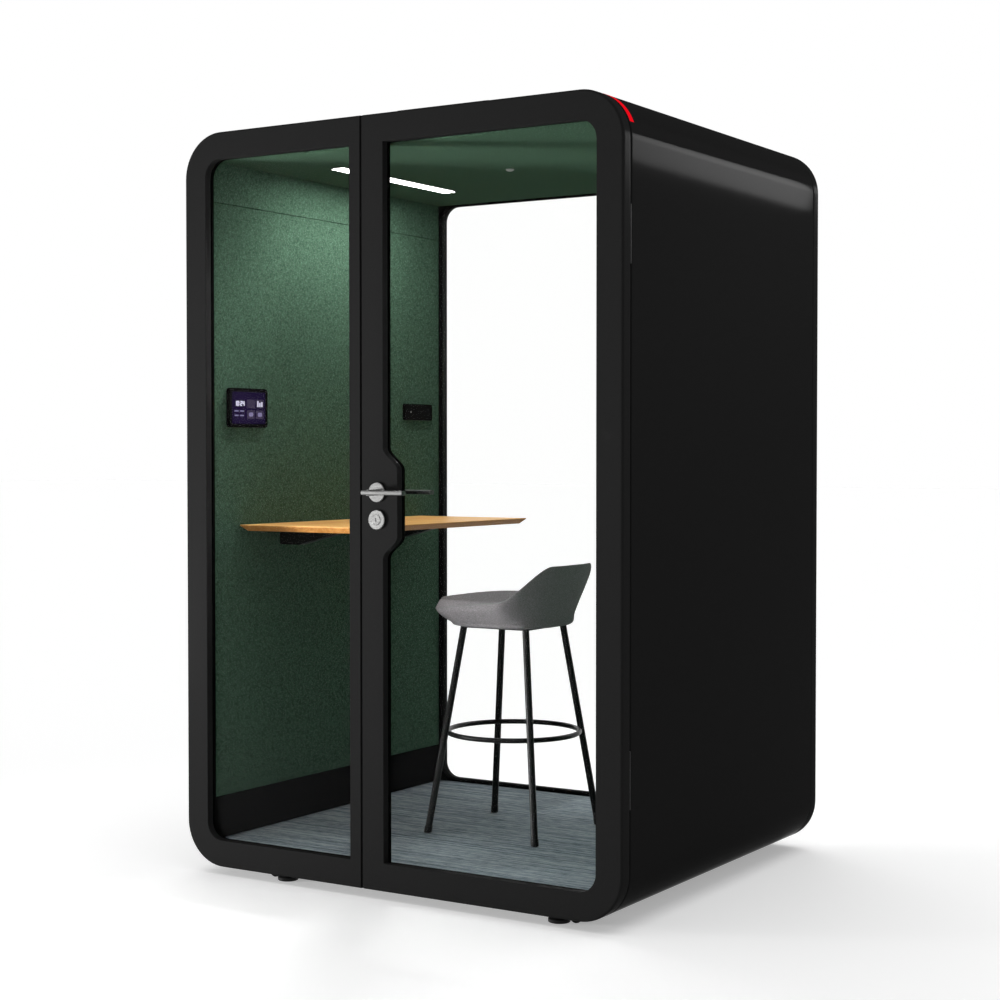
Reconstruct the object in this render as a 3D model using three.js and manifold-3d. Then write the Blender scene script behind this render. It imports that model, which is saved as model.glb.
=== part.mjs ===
// Acoustic office pod: a rounded black tunnel with a glazed front and back, a hinged glass door,
// felt-lined walls, a cantilevered desk, a roof ventilation unit and a bar stool.
// Millimetres, +Z up, +Y into the pod, y = 0 on the front face; the group at the end is centred.

import * as THREE from 'three';
import { mergeVertices } from 'three/addons/utils/BufferGeometryUtils.js';
import Module from 'manifold-3d';

const wasm = await Module();
wasm.setup();

// Pod body
const POD_WIDTH = 1550;
const POD_DEPTH = 1350;
const POD_HEIGHT = 2300;
const GROUND_GAP = 25;
const CORNER_RADIUS = 138;
const CORNER_STEPS = 10;
const SHELL_THICKNESS = 40;
const SHELL_RETURN = 6;
const PANEL_SEAM = 1.2;
const FRONT_EDGE_RADIUS = 7;
const SEAM_EDGE_RADIUS = 4;
const SEAM_GAP = 4;
const FIT = 0.3;

// Inside lining
const WALL_THICKNESS = 73;
const CEILING_DROP = 80;
const CEILING_BOARD = 20;
const FLOOR_DECK = 25;
const CARPET_THICKNESS = 7;
const SKIRTING_HEIGHT = 132;
const SKIRTING_PROUD = 4;
const UPPER_PANEL_HEIGHT = 125;
const PANEL_JOINT = 2;
const AIR_SLOT_WIDTH = 24;
const AIR_SLOT_LENGTH = 700;

// Front: fixed sidelight on the left, door leaf on the right
const LEAF_DEPTH = 44;
const FRAME_WIDTH = 83;
const OPENING_RADIUS = 55;
const SIDELIGHT_WIDTH = 677.5;
const SIDELIGHT_STILE = 40;
const MEETING_GAP = 5;
const DOOR_STILE = 77;
const LIP_DEPTH = 10;
const LIP_WIDTH = 15;
const REBATE_GAP = 0.8;
const TONGUE_GAP = 4;
const GLASS_SETBACK = 24;
const GLASS_THICKNESS = 10;
const GLASS_COVER = 12;
const GLASS_EDGE_GAP = 1.5;
const BEAD_SIGHT = 2;
const BULGE_REACH = 51;
const BULGE_STRAIGHT = 194;
const BULGE_RISE = 8;
const BULGE_RUN = 66;
const BULGE_STEPS = 8;
const SEAL_INSET = 14;
const SEAL_WIDTH = 12;

// Back frame
const REAR_DEPTH = 44;
const REAR_GLASS_SETBACK = 20;

// Door hinges
const HINGE_FROM_SIDE = 3.5;
const HINGE_LENGTH = 160;
const HINGE_FROM_END = 315;
const KNUCKLE_RADIUS = 3.2;
const KNUCKLE_GAP = 0.5;
const KNUCKLE_CLEARANCE = 0.7;
const DOOR_KNUCKLE = 60;
const PIN_RADIUS = 1.5;
const PIN_CLEARANCE = 0.4;
const HINGE_PLATE_WIDTH = 32;
const HINGE_PLATE = 2.9;

// Lock, levers and bolts
const LEVER_HEIGHT = 1197;
const LOCK_SPACING = 80;
const BACKSET = 58;
const ROSE_RADIUS = 29;
const ROSE_THICKNESS = 8;
const HARDWARE_EDGE = 1.5;
const LEVER_REACH = 62;
const LEVER_LENGTH = 128;
const LEVER_HEEL = 16;
const LEVER_BAR_HEIGHT = 13;
const LEVER_BAR_DEPTH = 22;
const LEVER_BAR_RADIUS = 4;
const NECK_RADIUS = 9;
const SPINDLE_SIDE = 8;
const SPINDLE_GRIP = 18;
const CYLINDER_FACE_RADIUS = 16;
const CYLINDER_RADIUS = 8.5;
const KEY_SLOT_WIDTH = 3;
const KEY_SLOT_HEIGHT = 13;
const KEY_SLOT_DEPTH = 5;
const TURN_RADIUS = 6;
const TURN_KNOB_LENGTH = 22;
const TURN_KNOB_WIDTH = 30;
const TURN_KNOB_THICKNESS = 9;
const TURN_KNOB_FLAT = 1;
const CASE_LENGTH = 92;
const CASE_HEIGHT = 160;
const CASE_DEPTH = 16;
const FOREND_HEIGHT = 190;
const FOREND_WIDTH = 22;
const FOREND_THICKNESS = 3;
const BOLT_HEIGHT = 14;
const BOLT_DEPTH = 10;
const LATCH_THROW = 10;
const LATCH_LENGTH = 32;
const DEADBOLT_THROW = 12;
const DEADBOLT_LENGTH = 25;
const STRIKE_THICKNESS = 2;
const STRIKE_CLEARANCE = 3;

// Status light on the top right corner
const STATUS_FROM = 20;
const STATUS_TO = 70;
const STATUS_WIDTH = 22;
const STATUS_DEPTH = 8;
const STATUS_PROUD = 0.4;
const STATUS_STEPS = 12;
const STATUS_FROM_EDGE = 0.5;

// Ceiling light and sensor
const LIGHT_LENGTH = 650;
const LIGHT_WIDTH = 53;
const LIGHT_DEPTH = 26;
const LIGHT_FROM_WALL = 229;
const LIGHT_WALL = 3;
const LIGHT_PROUD = 2;
const DIFFUSER_THICKNESS = 4;
const DIFFUSER_RECESS = 1;
const SENSOR_RADIUS = 14;
const SENSOR_STEM_RADIUS = 9.8;
const SENSOR_DOME = 7;

// Control panel and socket plate on the left wall
const CONTROL_LENGTH = 187;
const CONTROL_HEIGHT = 125;
const CONTROL_DEPTH = 14;
const CONTROL_RADIUS = 12;
const CONTROL_FROM_FRONT = 109;
const CONTROL_BASE = 1393;
const CONTROL_BEZEL = 12;
const SCREEN_DEPTH = 3;
const SCREEN_RADIUS = 4;
const SOCKET_LENGTH = 172;
const SOCKET_HEIGHT = 58;
const SOCKET_DEPTH = 11;
const SOCKET_RADIUS = 6;
const SOCKET_FROM_BACK = 59;
const SOCKET_BASE = 1430;
const SOCKET_RIM = 5;
const SOCKET_RECESS = 2;

// Desk
const DESK_LENGTH = 1012;
const DESK_REACH = 458;
const DESK_HEIGHT = 1083;
const DESK_THICKNESS = 19;
const DESK_LIP = 3;
const DESK_BEVEL = 17;
const DESK_CORNER = 8;
const BRACKET_SPACING = 560;
const BRACKET_WIDTH = 40;
const BRACKET_DROP = 51;
const BRACKET_FLAT = 77;
const BRACKET_REACH = 260;
const BRACKET_TIP = 6;
const BRACKET_WALL = 4;

// Roof ventilation unit
const VENT_WIDTH = 350;
const VENT_LENGTH = 420;
const VENT_HEIGHT = 62;
const VENT_SETBACK = 280;
const VENT_WALL = 3;
const VENT_CORNER = 16;
const VENT_TOP_BEVEL = 3;
const LOUVRE_COUNT = 5;
const LOUVRE_HEIGHT = 5;
const LOUVRE_MARGIN = 40;
const FAN_RADIUS = 92;
const FAN_HUB_RADIUS = 32;
const FAN_HEIGHT = 24;
const FAN_BLADES = 7;
const FAN_BLADE_THICKNESS = 2.4;
const FAN_BLADE_PITCH = 35;
const FAN_BLADE_SHARE = 0.9;
const FAN_GAP = 0.5;
const FAN_PIN_RADIUS = 5;
const FAN_PIN_CLEARANCE = 0.4;
const MOTOR_RADIUS = 27;
const DUCT_RADIUS = 100;

// Feet and castors
const FOOT_FROM_LEFT = 350;
const FOOT_FROM_RIGHT = 234;
const FOOT_FROM_FACE = 64;
const FOOT_RADIUS = 32;
const FOOT_DISC = 14;
const FOOT_BEVEL = 2;
const FOOT_SHOULDER_WIDTH = 6;
const FOOT_SHOULDER_DROP = 4;
const STEM_RADIUS = 8;
const STEM_TOP = 58;
const CASTOR_OFFSET = 52;
const CASTOR_FROM_FACE = 68;
const WHEEL_RADIUS = 20;
const WHEEL_WIDTH = 18;
const WHEEL_LIFT = 2;
const WHEEL_HUB_RADIUS = 11;
const WHEEL_DISH = 2;
const TYRE_EDGE = 4;
const TYRE_SHOULDER = 3;
const AXLE_RADIUS = 4;
const AXLE_CLEARANCE = 0.4;
const CHEEK = 3;
const CHEEK_WIDTH = 20;
const CASTOR_SIDE_GAP = 0.5;
const CASTOR_POCKET = 50;
const CASTOR_ROOF = 5;

// Stool
const STOOL_X = 7;
const STOOL_FROM_FRONT = 687;
const STOOL_FOOT_SPREAD = 200;
const STOOL_TOP_SPREAD = 116;
const STOOL_LEG_RADIUS = 11;
const STOOL_FRAME_HEIGHT = 662;
const STOOL_PLATE = 6;
const STOOL_RING_HEIGHT = 317;
const STOOL_RING_RADIUS = 212;
const STOOL_RING_TUBE = 8;
const SEAT_HALF_WIDTH = 226;
const SEAT_BASE_HALF = 165;
const SEAT_RIM_FRONT = 44;
const SEAT_RIM_SIDE = 86;
const SEAT_RIM_BACK = 197;
const SEAT_PAD_HEIGHT = 91;
const SEAT_PAD_CROWN = 10;
const SEAT_EDGE_THICKNESS = 18;
const SEAT_BACK_THICKNESS = 40;
const SEAT_SQUARENESS = 3;
const SEAT_STEPS = 40;

// Seat: degrees from the middle of the back over which its rim drops to the sides and then to the front,
// and over which its straight back turns into the rounded hull
const SEAT_BACK_DROP = [28, 73];
const SEAT_SIDE_DROP = [60, 180];
const SEAT_HULL_TURN = [40, 100];
const SEAT_HULL_ROUND = 0.6;

// Seat sections: shares [outwards, upwards] of the hull from base to rim, shares [inwards, down to the pad
// from a rim over it, up to the pad from a rim under it] of the roll, and shares [outwards, of the crown]
// of the pad
const SEAT_HULL = [[0, 0], [0.22, 0.2], [0.46, 0.43], [0.76, 0.71], [1, 0.97]];
const SEAT_ROLL = [[0.15, 0, 0.2], [0.6, 0.2, 0.62], [1.1, 0.6, 0.86], [1.6, 0.92, 0.97]];
const SEAT_PAD = [[0.5, 0.8], [0.15, 1]];

// Levels and planes worked out from the sizes above
const HALF_WIDTH = POD_WIDTH / 2;
const SHELL_FRONT = LEAF_DEPTH + SEAM_GAP;
const REAR_FRONT = POD_DEPTH - REAR_DEPTH;
const SHELL_BACK = REAR_FRONT - FIT;
const SHELL_SPLIT = HALF_WIDTH - CORNER_RADIUS - SHELL_RETURN;
const WALL_FACE = HALF_WIDTH - WALL_THICKNESS;
const CEILING = POD_HEIGHT - CEILING_DROP;
const DECK_BOTTOM = GROUND_GAP + SHELL_THICKNESS + FIT;
const DECK_TOP = DECK_BOTTOM + FLOOR_DECK;
const CARPET_TOP = DECK_TOP + FIT + CARPET_THICKNESS;
const SKIRTING_TOP = CARPET_TOP + SKIRTING_HEIGHT;
const UPPER_JOINT = CEILING - UPPER_PANEL_HEIGHT;
const MID_DEPTH = POD_DEPTH / 2;
const MEETING = -HALF_WIDTH + SIDELIGHT_WIDTH;
const DOOR_EDGE = MEETING + MEETING_GAP / 2;
const DOOR_REAR_EDGE = DOOR_EDGE + LIP_WIDTH;
const TONGUE_EDGE = DOOR_REAR_EDGE - TONGUE_GAP;
const OPENING_BOTTOM = GROUND_GAP + FRAME_WIDTH;
const OPENING_TOP = POD_HEIGHT - FRAME_WIDTH;
const OPENING_SIDE = HALF_WIDTH - FRAME_WIDTH;
const SIDELIGHT_RIGHT = MEETING - MEETING_GAP / 2 - SIDELIGHT_STILE;
const DOOR_LEFT = DOOR_EDGE + DOOR_STILE;
const GLASS_BACK = GLASS_SETBACK + FIT + GLASS_THICKNESS;
const LOCK_HEIGHT = LEVER_HEIGHT - LOCK_SPACING;
const LOCK_MIDDLE = (LEVER_HEIGHT + LOCK_HEIGHT) / 2;
const BULGE_MIDDLE = LOCK_MIDDLE + BULGE_RISE;
const SPINDLE_X = DOOR_EDGE + BACKSET;
const LOCK_DEPTH = LEAF_DEPTH / 2;
const HINGE_X = HALF_WIDTH - HINGE_FROM_SIDE;
const HINGE_Y = LEAF_DEPTH + SEAM_GAP / 2;
const FAR = 4000;
const OVERLAP = 1;
const SMALL_STEPS = 3;
const ROUND_STEPS = 24;
const FINE_STEPS = 16;
const MERGE_TOLERANCE = 1e-4;

// Finishes: colour, roughness, metalness
const FINISHES = {
  black_coat: [0x1b1c1e, 0.42, 0.25],
  black_steel: [0x141414, 0.45, 0.6],
  felt: [0x3f5b49, 0.95, 0],
  carpet: [0x6c757c, 0.95, 0],
  black_trim: [0x161818, 0.6, 0],
  plywood: [0xb79a72, 0.8, 0],
  glass: [0xe8f0ee, 0.05, 0],
  rubber: [0x101010, 0.85, 0],
  satin_metal: [0xb9bcbd, 0.3, 0.9],
  dark_metal: [0x3a3c3e, 0.4, 0.8],
  red_light: [0xe60a1e, 0.4, 0],
  white_light: [0xffffff, 0.5, 0],
  black_plastic: [0x121214, 0.35, 0],
  screen: [0x1d1636, 0.15, 0],
  oak: [0xe0b27a, 0.5, 0],
  upholstery: [0x66686a, 0.9, 0],
  grey_plastic: [0x4a4d50, 0.5, 0],
};

const pod = new THREE.Group();

/** Adds one named piece with a material of its own. */
function part(name, body, finish) {
  const [color, roughness, metalness] = FINISHES[finish];
  const material = new THREE.MeshStandardMaterial({ color, roughness, metalness });
  const mesh = new THREE.Mesh(geometryOf(body), material);
  mesh.name = name;
  pod.add(mesh);
}

/** Closed three.js geometry as a solid, with shared vertices merged and faces pointing out. */
function solid(geometry) {
  const bare = geometry.index ? geometry.toNonIndexed() : geometry.clone();
  for (const name of Object.keys(bare.attributes)) {
    if (name !== 'position') {
      bare.deleteAttribute(name);
    }
  }
  const merged = mergeVertices(bare, MERGE_TOLERANCE);
  const points = merged.attributes.position;
  const index = merged.index.array;
  const corner = [new THREE.Vector3(), new THREE.Vector3(), new THREE.Vector3()];
  const triangles = [];
  let volume = 0;
  for (let i = 0; i < index.length; i += 3) {
    const [a, b, c] = [index[i], index[i + 1], index[i + 2]];
    if (a === b || b === c || c === a) {
      continue;
    }
    triangles.push(a, b, c);
    [a, b, c].forEach((vertex, k) => corner[k].fromBufferAttribute(points, vertex));
    volume += corner[0].dot(corner[1].clone().cross(corner[2]));
  }
  if (volume < 0) {
    triangles.reverse();
  }
  return new wasm.Manifold(new wasm.Mesh({
    numProp: 3,
    vertProperties: Float32Array.from(points.array),
    triVerts: Uint32Array.from(triangles),
  }));
}

/** Solid as a three.js geometry. */
function geometryOf(body) {
  const mesh = body.getMesh();
  const geometry = new THREE.BufferGeometry();
  geometry.setAttribute('position', new THREE.BufferAttribute(Float32Array.from(mesh.vertProperties), 3));
  geometry.setIndex(new THREE.BufferAttribute(Uint32Array.from(mesh.triVerts), 1));
  geometry.computeVertexNormals();
  return geometry;
}

/** Union of a list of solids. */
function join(bodies) {
  return bodies.reduce((whole, body) => whole.add(body));
}

/** First solid with the others cut out of it. */
function cut(body, ...tools) {
  return tools.reduce((rest, tool) => rest.subtract(tool), body);
}

/** Box between two corners. */
function box(x0, x1, y0, y1, z0, z1) {
  const geometry = new THREE.BoxGeometry(x1 - x0, y1 - y0, z1 - z0);
  geometry.translate((x0 + x1) / 2, (y0 + y1) / 2, (z0 + z1) / 2);
  return solid(geometry);
}

// Where a flat outline (u, v) and its depth w point for each direction of extrusion
const AXES = {
  x: [new THREE.Vector3(0, 1, 0), new THREE.Vector3(0, 0, 1), new THREE.Vector3(1, 0, 0)],
  y: [new THREE.Vector3(1, 0, 0), new THREE.Vector3(0, 0, 1), new THREE.Vector3(0, -1, 0)],
  z: [new THREE.Vector3(1, 0, 0), new THREE.Vector3(0, 1, 0), new THREE.Vector3(0, 0, 1)],
};

/** Outline of points carried along an axis from one level to another, with optional holes. */
function prism(outline, axis, from, to, holes = []) {
  const shape = new THREE.Shape(outline);
  shape.holes = holes.map((hole) => new THREE.Path(hole));
  const geometry = new THREE.ExtrudeGeometry(shape, { depth: to - from, bevelEnabled: false });
  const [u, v, w] = AXES[axis];
  geometry.applyMatrix4(new THREE.Matrix4().makeBasis(u, v, w));
  const start = axis === 'y' ? to : from;
  geometry.translate(...w.clone().multiply(w).multiplyScalar(start).toArray());
  return solid(geometry);
}

/** Points of an arc from one angle to another, in degrees, both ends included. */
function arc(u, v, radius, from, to, steps) {
  return Array.from({ length: steps + 1 }, (_, i) => {
    const angle = THREE.MathUtils.degToRad(from + ((to - from) * i) / steps);
    return new THREE.Vector2(u + radius * Math.cos(angle), v + radius * Math.sin(angle));
  });
}

/** Points of a full circle, the first of them straight along u. */
function circle(u, v, radius, steps = ROUND_STEPS) {
  return arc(u, v, radius, 0, 360 - 360 / steps, steps - 1);
}

/** Rectangle whose four corners have their own radii, in the order of corners given below. */
function rectangle(left, right, bottom, top, radii = [0, 0, 0, 0], steps = CORNER_STEPS) {
  const corners = [
    [left, bottom, 1, 1, 180],
    [right, bottom, -1, 1, 270],
    [right, top, -1, -1, 0],
    [left, top, 1, -1, 90],
  ];
  return corners.flatMap(([u, v, su, sv, start], i) => {
    if (radii[i] <= 0) {
      return [new THREE.Vector2(u, v)];
    }
    return arc(u + su * radii[i], v + sv * radii[i], radii[i], start, start + 90, steps);
  });
}

/** Same radius on all four corners. */
function roundRectangle(left, right, bottom, top, radius, steps = CORNER_STEPS) {
  return rectangle(left, right, bottom, top, [radius, radius, radius, radius], steps);
}

/** Cylinder along an axis. */
function cylinder(axis, u, v, radius, from, to, steps = ROUND_STEPS) {
  return prism(circle(u, v, radius, steps), axis, from, to);
}

/** Profile of [radius, height] points turned about a line along Y or Z. */
function revolve(profile, axis, centre, steps = ROUND_STEPS) {
  const geometry = new THREE.LatheGeometry(profile.map(([r, h]) => new THREE.Vector2(r, h)), steps);
  if (axis === 'z') {
    geometry.rotateX(Math.PI / 2);
  }
  geometry.translate(...centre);
  return solid(geometry);
}

/** Closed skin over a stack of rings with equal counts of points, capped by a fan at each end. */
function loft(rings) {
  const count = rings[0].length;
  const points = rings.flat();
  const triangles = [];
  for (let k = 0; k + 1 < rings.length; k += 1) {
    for (let i = 0; i < count; i += 1) {
      const j = (i + 1) % count;
      const [a, b, c, d] = [k * count + i, k * count + j, (k + 1) * count + j, (k + 1) * count + i];
      triangles.push(a, d, c, a, c, b);
    }
  }
  [rings[0], rings[rings.length - 1]].forEach((ring, end) => {
    const middle = ring.reduce((sum, p) => sum.add(p), new THREE.Vector3()).divideScalar(count);
    const first = end * (rings.length - 1) * count;
    points.push(middle);
    for (let i = 0; i < count; i += 1) {
      const pair = [first + i, first + ((i + 1) % count)];
      triangles.push(points.length - 1, ...(end ? pair.reverse() : pair));
    }
  });
  const geometry = new THREE.BufferGeometry().setFromPoints(points);
  geometry.setIndex(triangles);
  return solid(geometry);
}

/** Outline of the pod seen from the front, moved inwards by an inset. */
function podOutline(inset) {
  const side = HALF_WIDTH - inset;
  return roundRectangle(-side, side, GROUND_GAP + inset, POD_HEIGHT - inset, CORNER_RADIUS - inset);
}

/** Slab of the pod's outline whose front and back edges are rounded. */
function podSlab(front, back, frontRadius, backRadius) {
  const rings = [];
  const ring = (inset, y) => rings.push(podOutline(inset).map((p) => new THREE.Vector3(p.x, y, p.y)));
  for (let i = 0; i <= SMALL_STEPS; i += 1) {
    const angle = (Math.PI / 2) * (i / SMALL_STEPS);
    ring(frontRadius * (1 - Math.sin(angle)), front + frontRadius * (1 - Math.cos(angle)));
  }
  for (let i = 0; i <= SMALL_STEPS; i += 1) {
    const angle = (Math.PI / 2) * (i / SMALL_STEPS);
    ring(backRadius * (1 - Math.cos(angle)), back - backRadius * (1 - Math.sin(angle)));
  }
  return loft(rings);
}

/** Inside of the shell, full length and a little more, moved in by a clearance. */
function tunnelCore(clearance, front = -FAR, back = FAR) {
  return prism(podOutline(SHELL_THICKNESS + clearance), 'y', front, back);
}

/** Opening of the door glass: rounded on the hinge side, with the lock bulge on the other. */
function doorOpening(grow) {
  const left = DOOR_LEFT - grow;
  const right = OPENING_SIDE + grow;
  const bottom = OPENING_BOTTOM - grow;
  const top = OPENING_TOP + grow;
  const radius = OPENING_RADIUS + grow;
  const bend = (t) => (BULGE_REACH * (1 - Math.cos(Math.PI * t))) / 2;
  const steps = Array.from({ length: BULGE_STEPS + 1 }, (_, i) => i / BULGE_STEPS);
  const half = BULGE_STRAIGHT / 2 + BULGE_RUN;
  const upper = steps.map((t) => new THREE.Vector2(left + bend(t), BULGE_MIDDLE + half - BULGE_RUN * t));
  const lower = steps.map((t) => new THREE.Vector2(left + bend(t), BULGE_MIDDLE - half + BULGE_RUN * t));
  return [...rectangle(left, right, bottom, top, [0, radius, radius, 0]), ...upper, ...lower.reverse()];
}

/** Opening of the sidelight glass: rounded on the outer side only. */
function sidelightOpening(grow) {
  const radius = OPENING_RADIUS + grow;
  return rectangle(-OPENING_SIDE - grow, SIDELIGHT_RIGHT + grow, OPENING_BOTTOM - grow, OPENING_TOP + grow,
    [radius, 0, 0, radius]);
}

/** Opening of the back glass, round at all four corners. */
function rearOpening(grow) {
  const side = OPENING_SIDE + grow;
  return roundRectangle(-side, side, OPENING_BOTTOM - grow, OPENING_TOP + grow, OPENING_RADIUS + grow);
}

const REBATE = GLASS_COVER + GLASS_EDGE_GAP;
const hingeLevels = [GROUND_GAP + HINGE_FROM_END, POD_HEIGHT - HINGE_FROM_END - HINGE_LENGTH];

/** Pocket in the leaf or in the shell for one hinge plate, and the groove round its knuckles. */
function hingePocket(level, plateFrom, plateTo) {
  const low = level - FIT;
  const high = level + HINGE_LENGTH + FIT;
  const plate = box(HINGE_X - HINGE_PLATE_WIDTH - FIT, HINGE_X + FIT, plateFrom, plateTo, low, high);
  const room = KNUCKLE_RADIUS + KNUCKLE_CLEARANCE;
  return plate.add(cylinder('z', HINGE_X, HINGE_Y, room, low, high, FINE_STEPS));
}

// Shell: two wrapped side panels, a roof panel and the chassis
function buildShell() {
  const tube = podSlab(SHELL_FRONT, SHELL_BACK, SEAM_EDGE_RADIUS, SEAM_EDGE_RADIUS).subtract(tunnelCore(0));
  const middle = SHELL_SPLIT - PANEL_SEAM;
  const halfway = POD_HEIGHT / 2;
  const statusStart = SHELL_FRONT + SEAM_EDGE_RADIUS + STATUS_FROM_EDGE;
  const pocketBack = SHELL_FRONT + FIT + HINGE_PLATE + FIT;
  const pockets = hingeLevels.map((level) => hingePocket(level, SHELL_FRONT - SEAM_GAP, pocketBack));
  part('left_shell', tube.intersect(box(-FAR, -SHELL_SPLIT, -FAR, FAR, -FAR, FAR)), 'black_coat');
  part('right_shell', cut(tube.intersect(box(SHELL_SPLIT, FAR, -FAR, FAR, -FAR, FAR)),
    statusStrip(statusStart - FIT, statusStart + STATUS_WIDTH + FIT, FIT), ...pockets), 'black_coat');
  part('status_light', statusStrip(statusStart, statusStart + STATUS_WIDTH, 0), 'red_light');
  const duct = cylinder('z', 0, VENT_SETBACK + VENT_LENGTH / 2, DUCT_RADIUS, halfway, FAR, 2 * FINE_STEPS);
  const upper = tube.intersect(box(-middle, middle, -FAR, FAR, halfway, FAR));
  part('roof_panel', upper.subtract(duct), 'black_coat');
  const lower = tube.intersect(box(-middle, middle, -FAR, FAR, -FAR, halfway));
  part('chassis', buildChassis(lower), 'black_steel');
}

/** Arc of the status light on the top right corner, grown by a clearance when it is the recess. */
function statusStrip(front, back, grow) {
  const u = HALF_WIDTH - CORNER_RADIUS;
  const v = POD_HEIGHT - CORNER_RADIUS;
  const spread = THREE.MathUtils.radToDeg(grow / CORNER_RADIUS);
  const outer = CORNER_RADIUS + STATUS_PROUD + grow;
  const inner = CORNER_RADIUS - STATUS_DEPTH - grow;
  const outside = arc(u, v, outer, STATUS_FROM - spread, STATUS_TO + spread, STATUS_STEPS);
  const inside = arc(u, v, inner, STATUS_TO + spread, STATUS_FROM - spread, STATUS_STEPS);
  return prism([...outside, ...inside], 'y', front, back);
}

// Feet stand at these places, and a castor sits beside each one on its outer side
const supportSides = [['left', FOOT_FROM_LEFT - HALF_WIDTH, -1], ['right', HALF_WIDTH - FOOT_FROM_RIGHT, 1]];
const supportRows = [
  ['front', FOOT_FROM_FACE, CASTOR_FROM_FACE],
  ['rear', POD_DEPTH - FOOT_FROM_FACE, POD_DEPTH - CASTOR_FROM_FACE],
];
const supports = supportRows.flatMap(([row, y, castorY]) => supportSides.map(([side, x, outward]) => (
  { corner: `${row}_${side}`, x, y, castorX: x + outward * CASTOR_OFFSET, castorY }
)));

/** Chassis with the bores of the feet, and a fork and an axle in each castor pocket. */
function buildChassis(slab) {
  const roof = GROUND_GAP + SHELL_THICKNESS - CASTOR_ROOF;
  const axle = WHEEL_LIFT + WHEEL_RADIUS;
  const half = WHEEL_WIDTH / 2 + CASTOR_SIDE_GAP;
  let body = slab;
  for (const { x, y, castorX, castorY } of supports) {
    const room = half + CHEEK + CASTOR_SIDE_GAP;
    const across = (width, front, back, low, high) => (
      box(castorX - width / 2, castorX + width / 2, front, back, low, high)
    );
    const pocket = across(CASTOR_POCKET, castorY - room, castorY + room, -FAR, roof);
    body = cut(body, cylinder('z', x, y, STEM_RADIUS + FIT, -FAR, STEM_TOP + FIT), pocket);
    const cheekLow = axle - CHEEK_WIDTH / 2;
    const cheek = (front) => across(CHEEK_WIDTH, front, front + CHEEK, cheekLow, roof + OVERLAP);
    const pinHalf = half + CHEEK / 2;
    const pin = cylinder('y', castorX, axle, AXLE_RADIUS, castorY - pinHalf, castorY + pinHalf, FINE_STEPS);
    body = join([body, cheek(castorY - half - CHEEK), cheek(castorY + half), pin]);
  }
  return body;
}

// Feet and castor wheels
function buildSupports() {
  for (const { corner, x, y, castorX, castorY } of supports) {
    const foot = [
      [0, 0],
      [FOOT_RADIUS - FOOT_BEVEL, 0],
      [FOOT_RADIUS, FOOT_BEVEL],
      [FOOT_RADIUS, FOOT_DISC - FOOT_SHOULDER_DROP],
      [FOOT_RADIUS - FOOT_SHOULDER_WIDTH, FOOT_DISC],
      [STEM_RADIUS, FOOT_DISC],
      [STEM_RADIUS, STEM_TOP],
      [0, STEM_TOP],
    ];
    part(`foot_${corner}`, revolve(foot, 'z', [x, y, 0]), 'black_steel');
    const half = WHEEL_WIDTH / 2;
    const bore = AXLE_RADIUS + AXLE_CLEARANCE;
    const rim = half - WHEEL_DISH;
    const rightHalf = [
      [WHEEL_RADIUS, rim - TYRE_SHOULDER],
      [WHEEL_RADIUS - TYRE_EDGE, rim],
      [WHEEL_HUB_RADIUS, rim],
      [WHEEL_HUB_RADIUS, half],
      [bore, half],
    ];
    const leftHalf = rightHalf.map(([r, h]) => [r, -h]).reverse();
    const centre = [castorX, castorY, WHEEL_LIFT + WHEEL_RADIUS];
    const wheel = [...leftHalf, ...rightHalf, leftHalf[0]];
    part(`wheel_${corner}`, revolve(wheel, 'y', centre, FINE_STEPS), 'rubber');
  }
}

// Lining: floor, felt walls, skirtings and ceiling
function buildLining() {
  const inside = tunnelCore(FIT, SHELL_FRONT, SHELL_BACK);
  const lined = (x0, x1, z0, z1) => inside.intersect(box(x0, x1, SHELL_FRONT, SHELL_BACK, z0, z1));
  const skirtingFace = WALL_FACE - SKIRTING_PROUD;
  part('floor_deck', lined(-FAR, FAR, DECK_BOTTOM, DECK_TOP), 'plywood');
  part('carpet', lined(FIT - skirtingFace, skirtingFace - FIT, DECK_TOP + FIT, CARPET_TOP), 'carpet');
  for (const [side, x0, x1] of [['left', -FAR, -WALL_FACE], ['right', WALL_FACE, FAR]]) {
    const skirt = side === 'left' ? [x0, -skirtingFace] : [skirtingFace, x1];
    part(`${side}_skirting`, lined(...skirt, DECK_TOP + FIT, SKIRTING_TOP), 'black_trim');
    part(`${side}_wall_panel`, lined(x0, x1, SKIRTING_TOP + FIT, UPPER_JOINT - PANEL_JOINT / 2), 'felt');
    part(`${side}_upper_panel`, lined(x0, x1, UPPER_JOINT + PANEL_JOINT / 2, FAR), 'felt');
  }
  const ceiling = lined(FIT - WALL_FACE, WALL_FACE - FIT, CEILING, CEILING + CEILING_BOARD);
  const slot = box(-AIR_SLOT_LENGTH / 2, AIR_SLOT_LENGTH / 2, -FAR, SHELL_FRONT + AIR_SLOT_WIDTH, 0, FAR);
  const { x0, x1, y0, y1 } = lightPlan(FIT);
  const lamp = box(x0, x1, y0, y1, 0, FAR);
  const hole = cylinder('z', 0, MID_DEPTH, SENSOR_STEM_RADIUS + FIT, 0, FAR, FINE_STEPS);
  part('ceiling_panel', cut(ceiling, slot, lamp, hole), 'felt');
}

/** Plan of the ceiling light, grown on each side. */
function lightPlan(grow) {
  const x0 = -WALL_FACE + LIGHT_FROM_WALL;
  const y0 = MID_DEPTH - LIGHT_LENGTH / 2;
  return { x0: x0 - grow, x1: x0 + LIGHT_WIDTH + grow, y0: y0 - grow, y1: y0 + LIGHT_LENGTH + grow };
}

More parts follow.
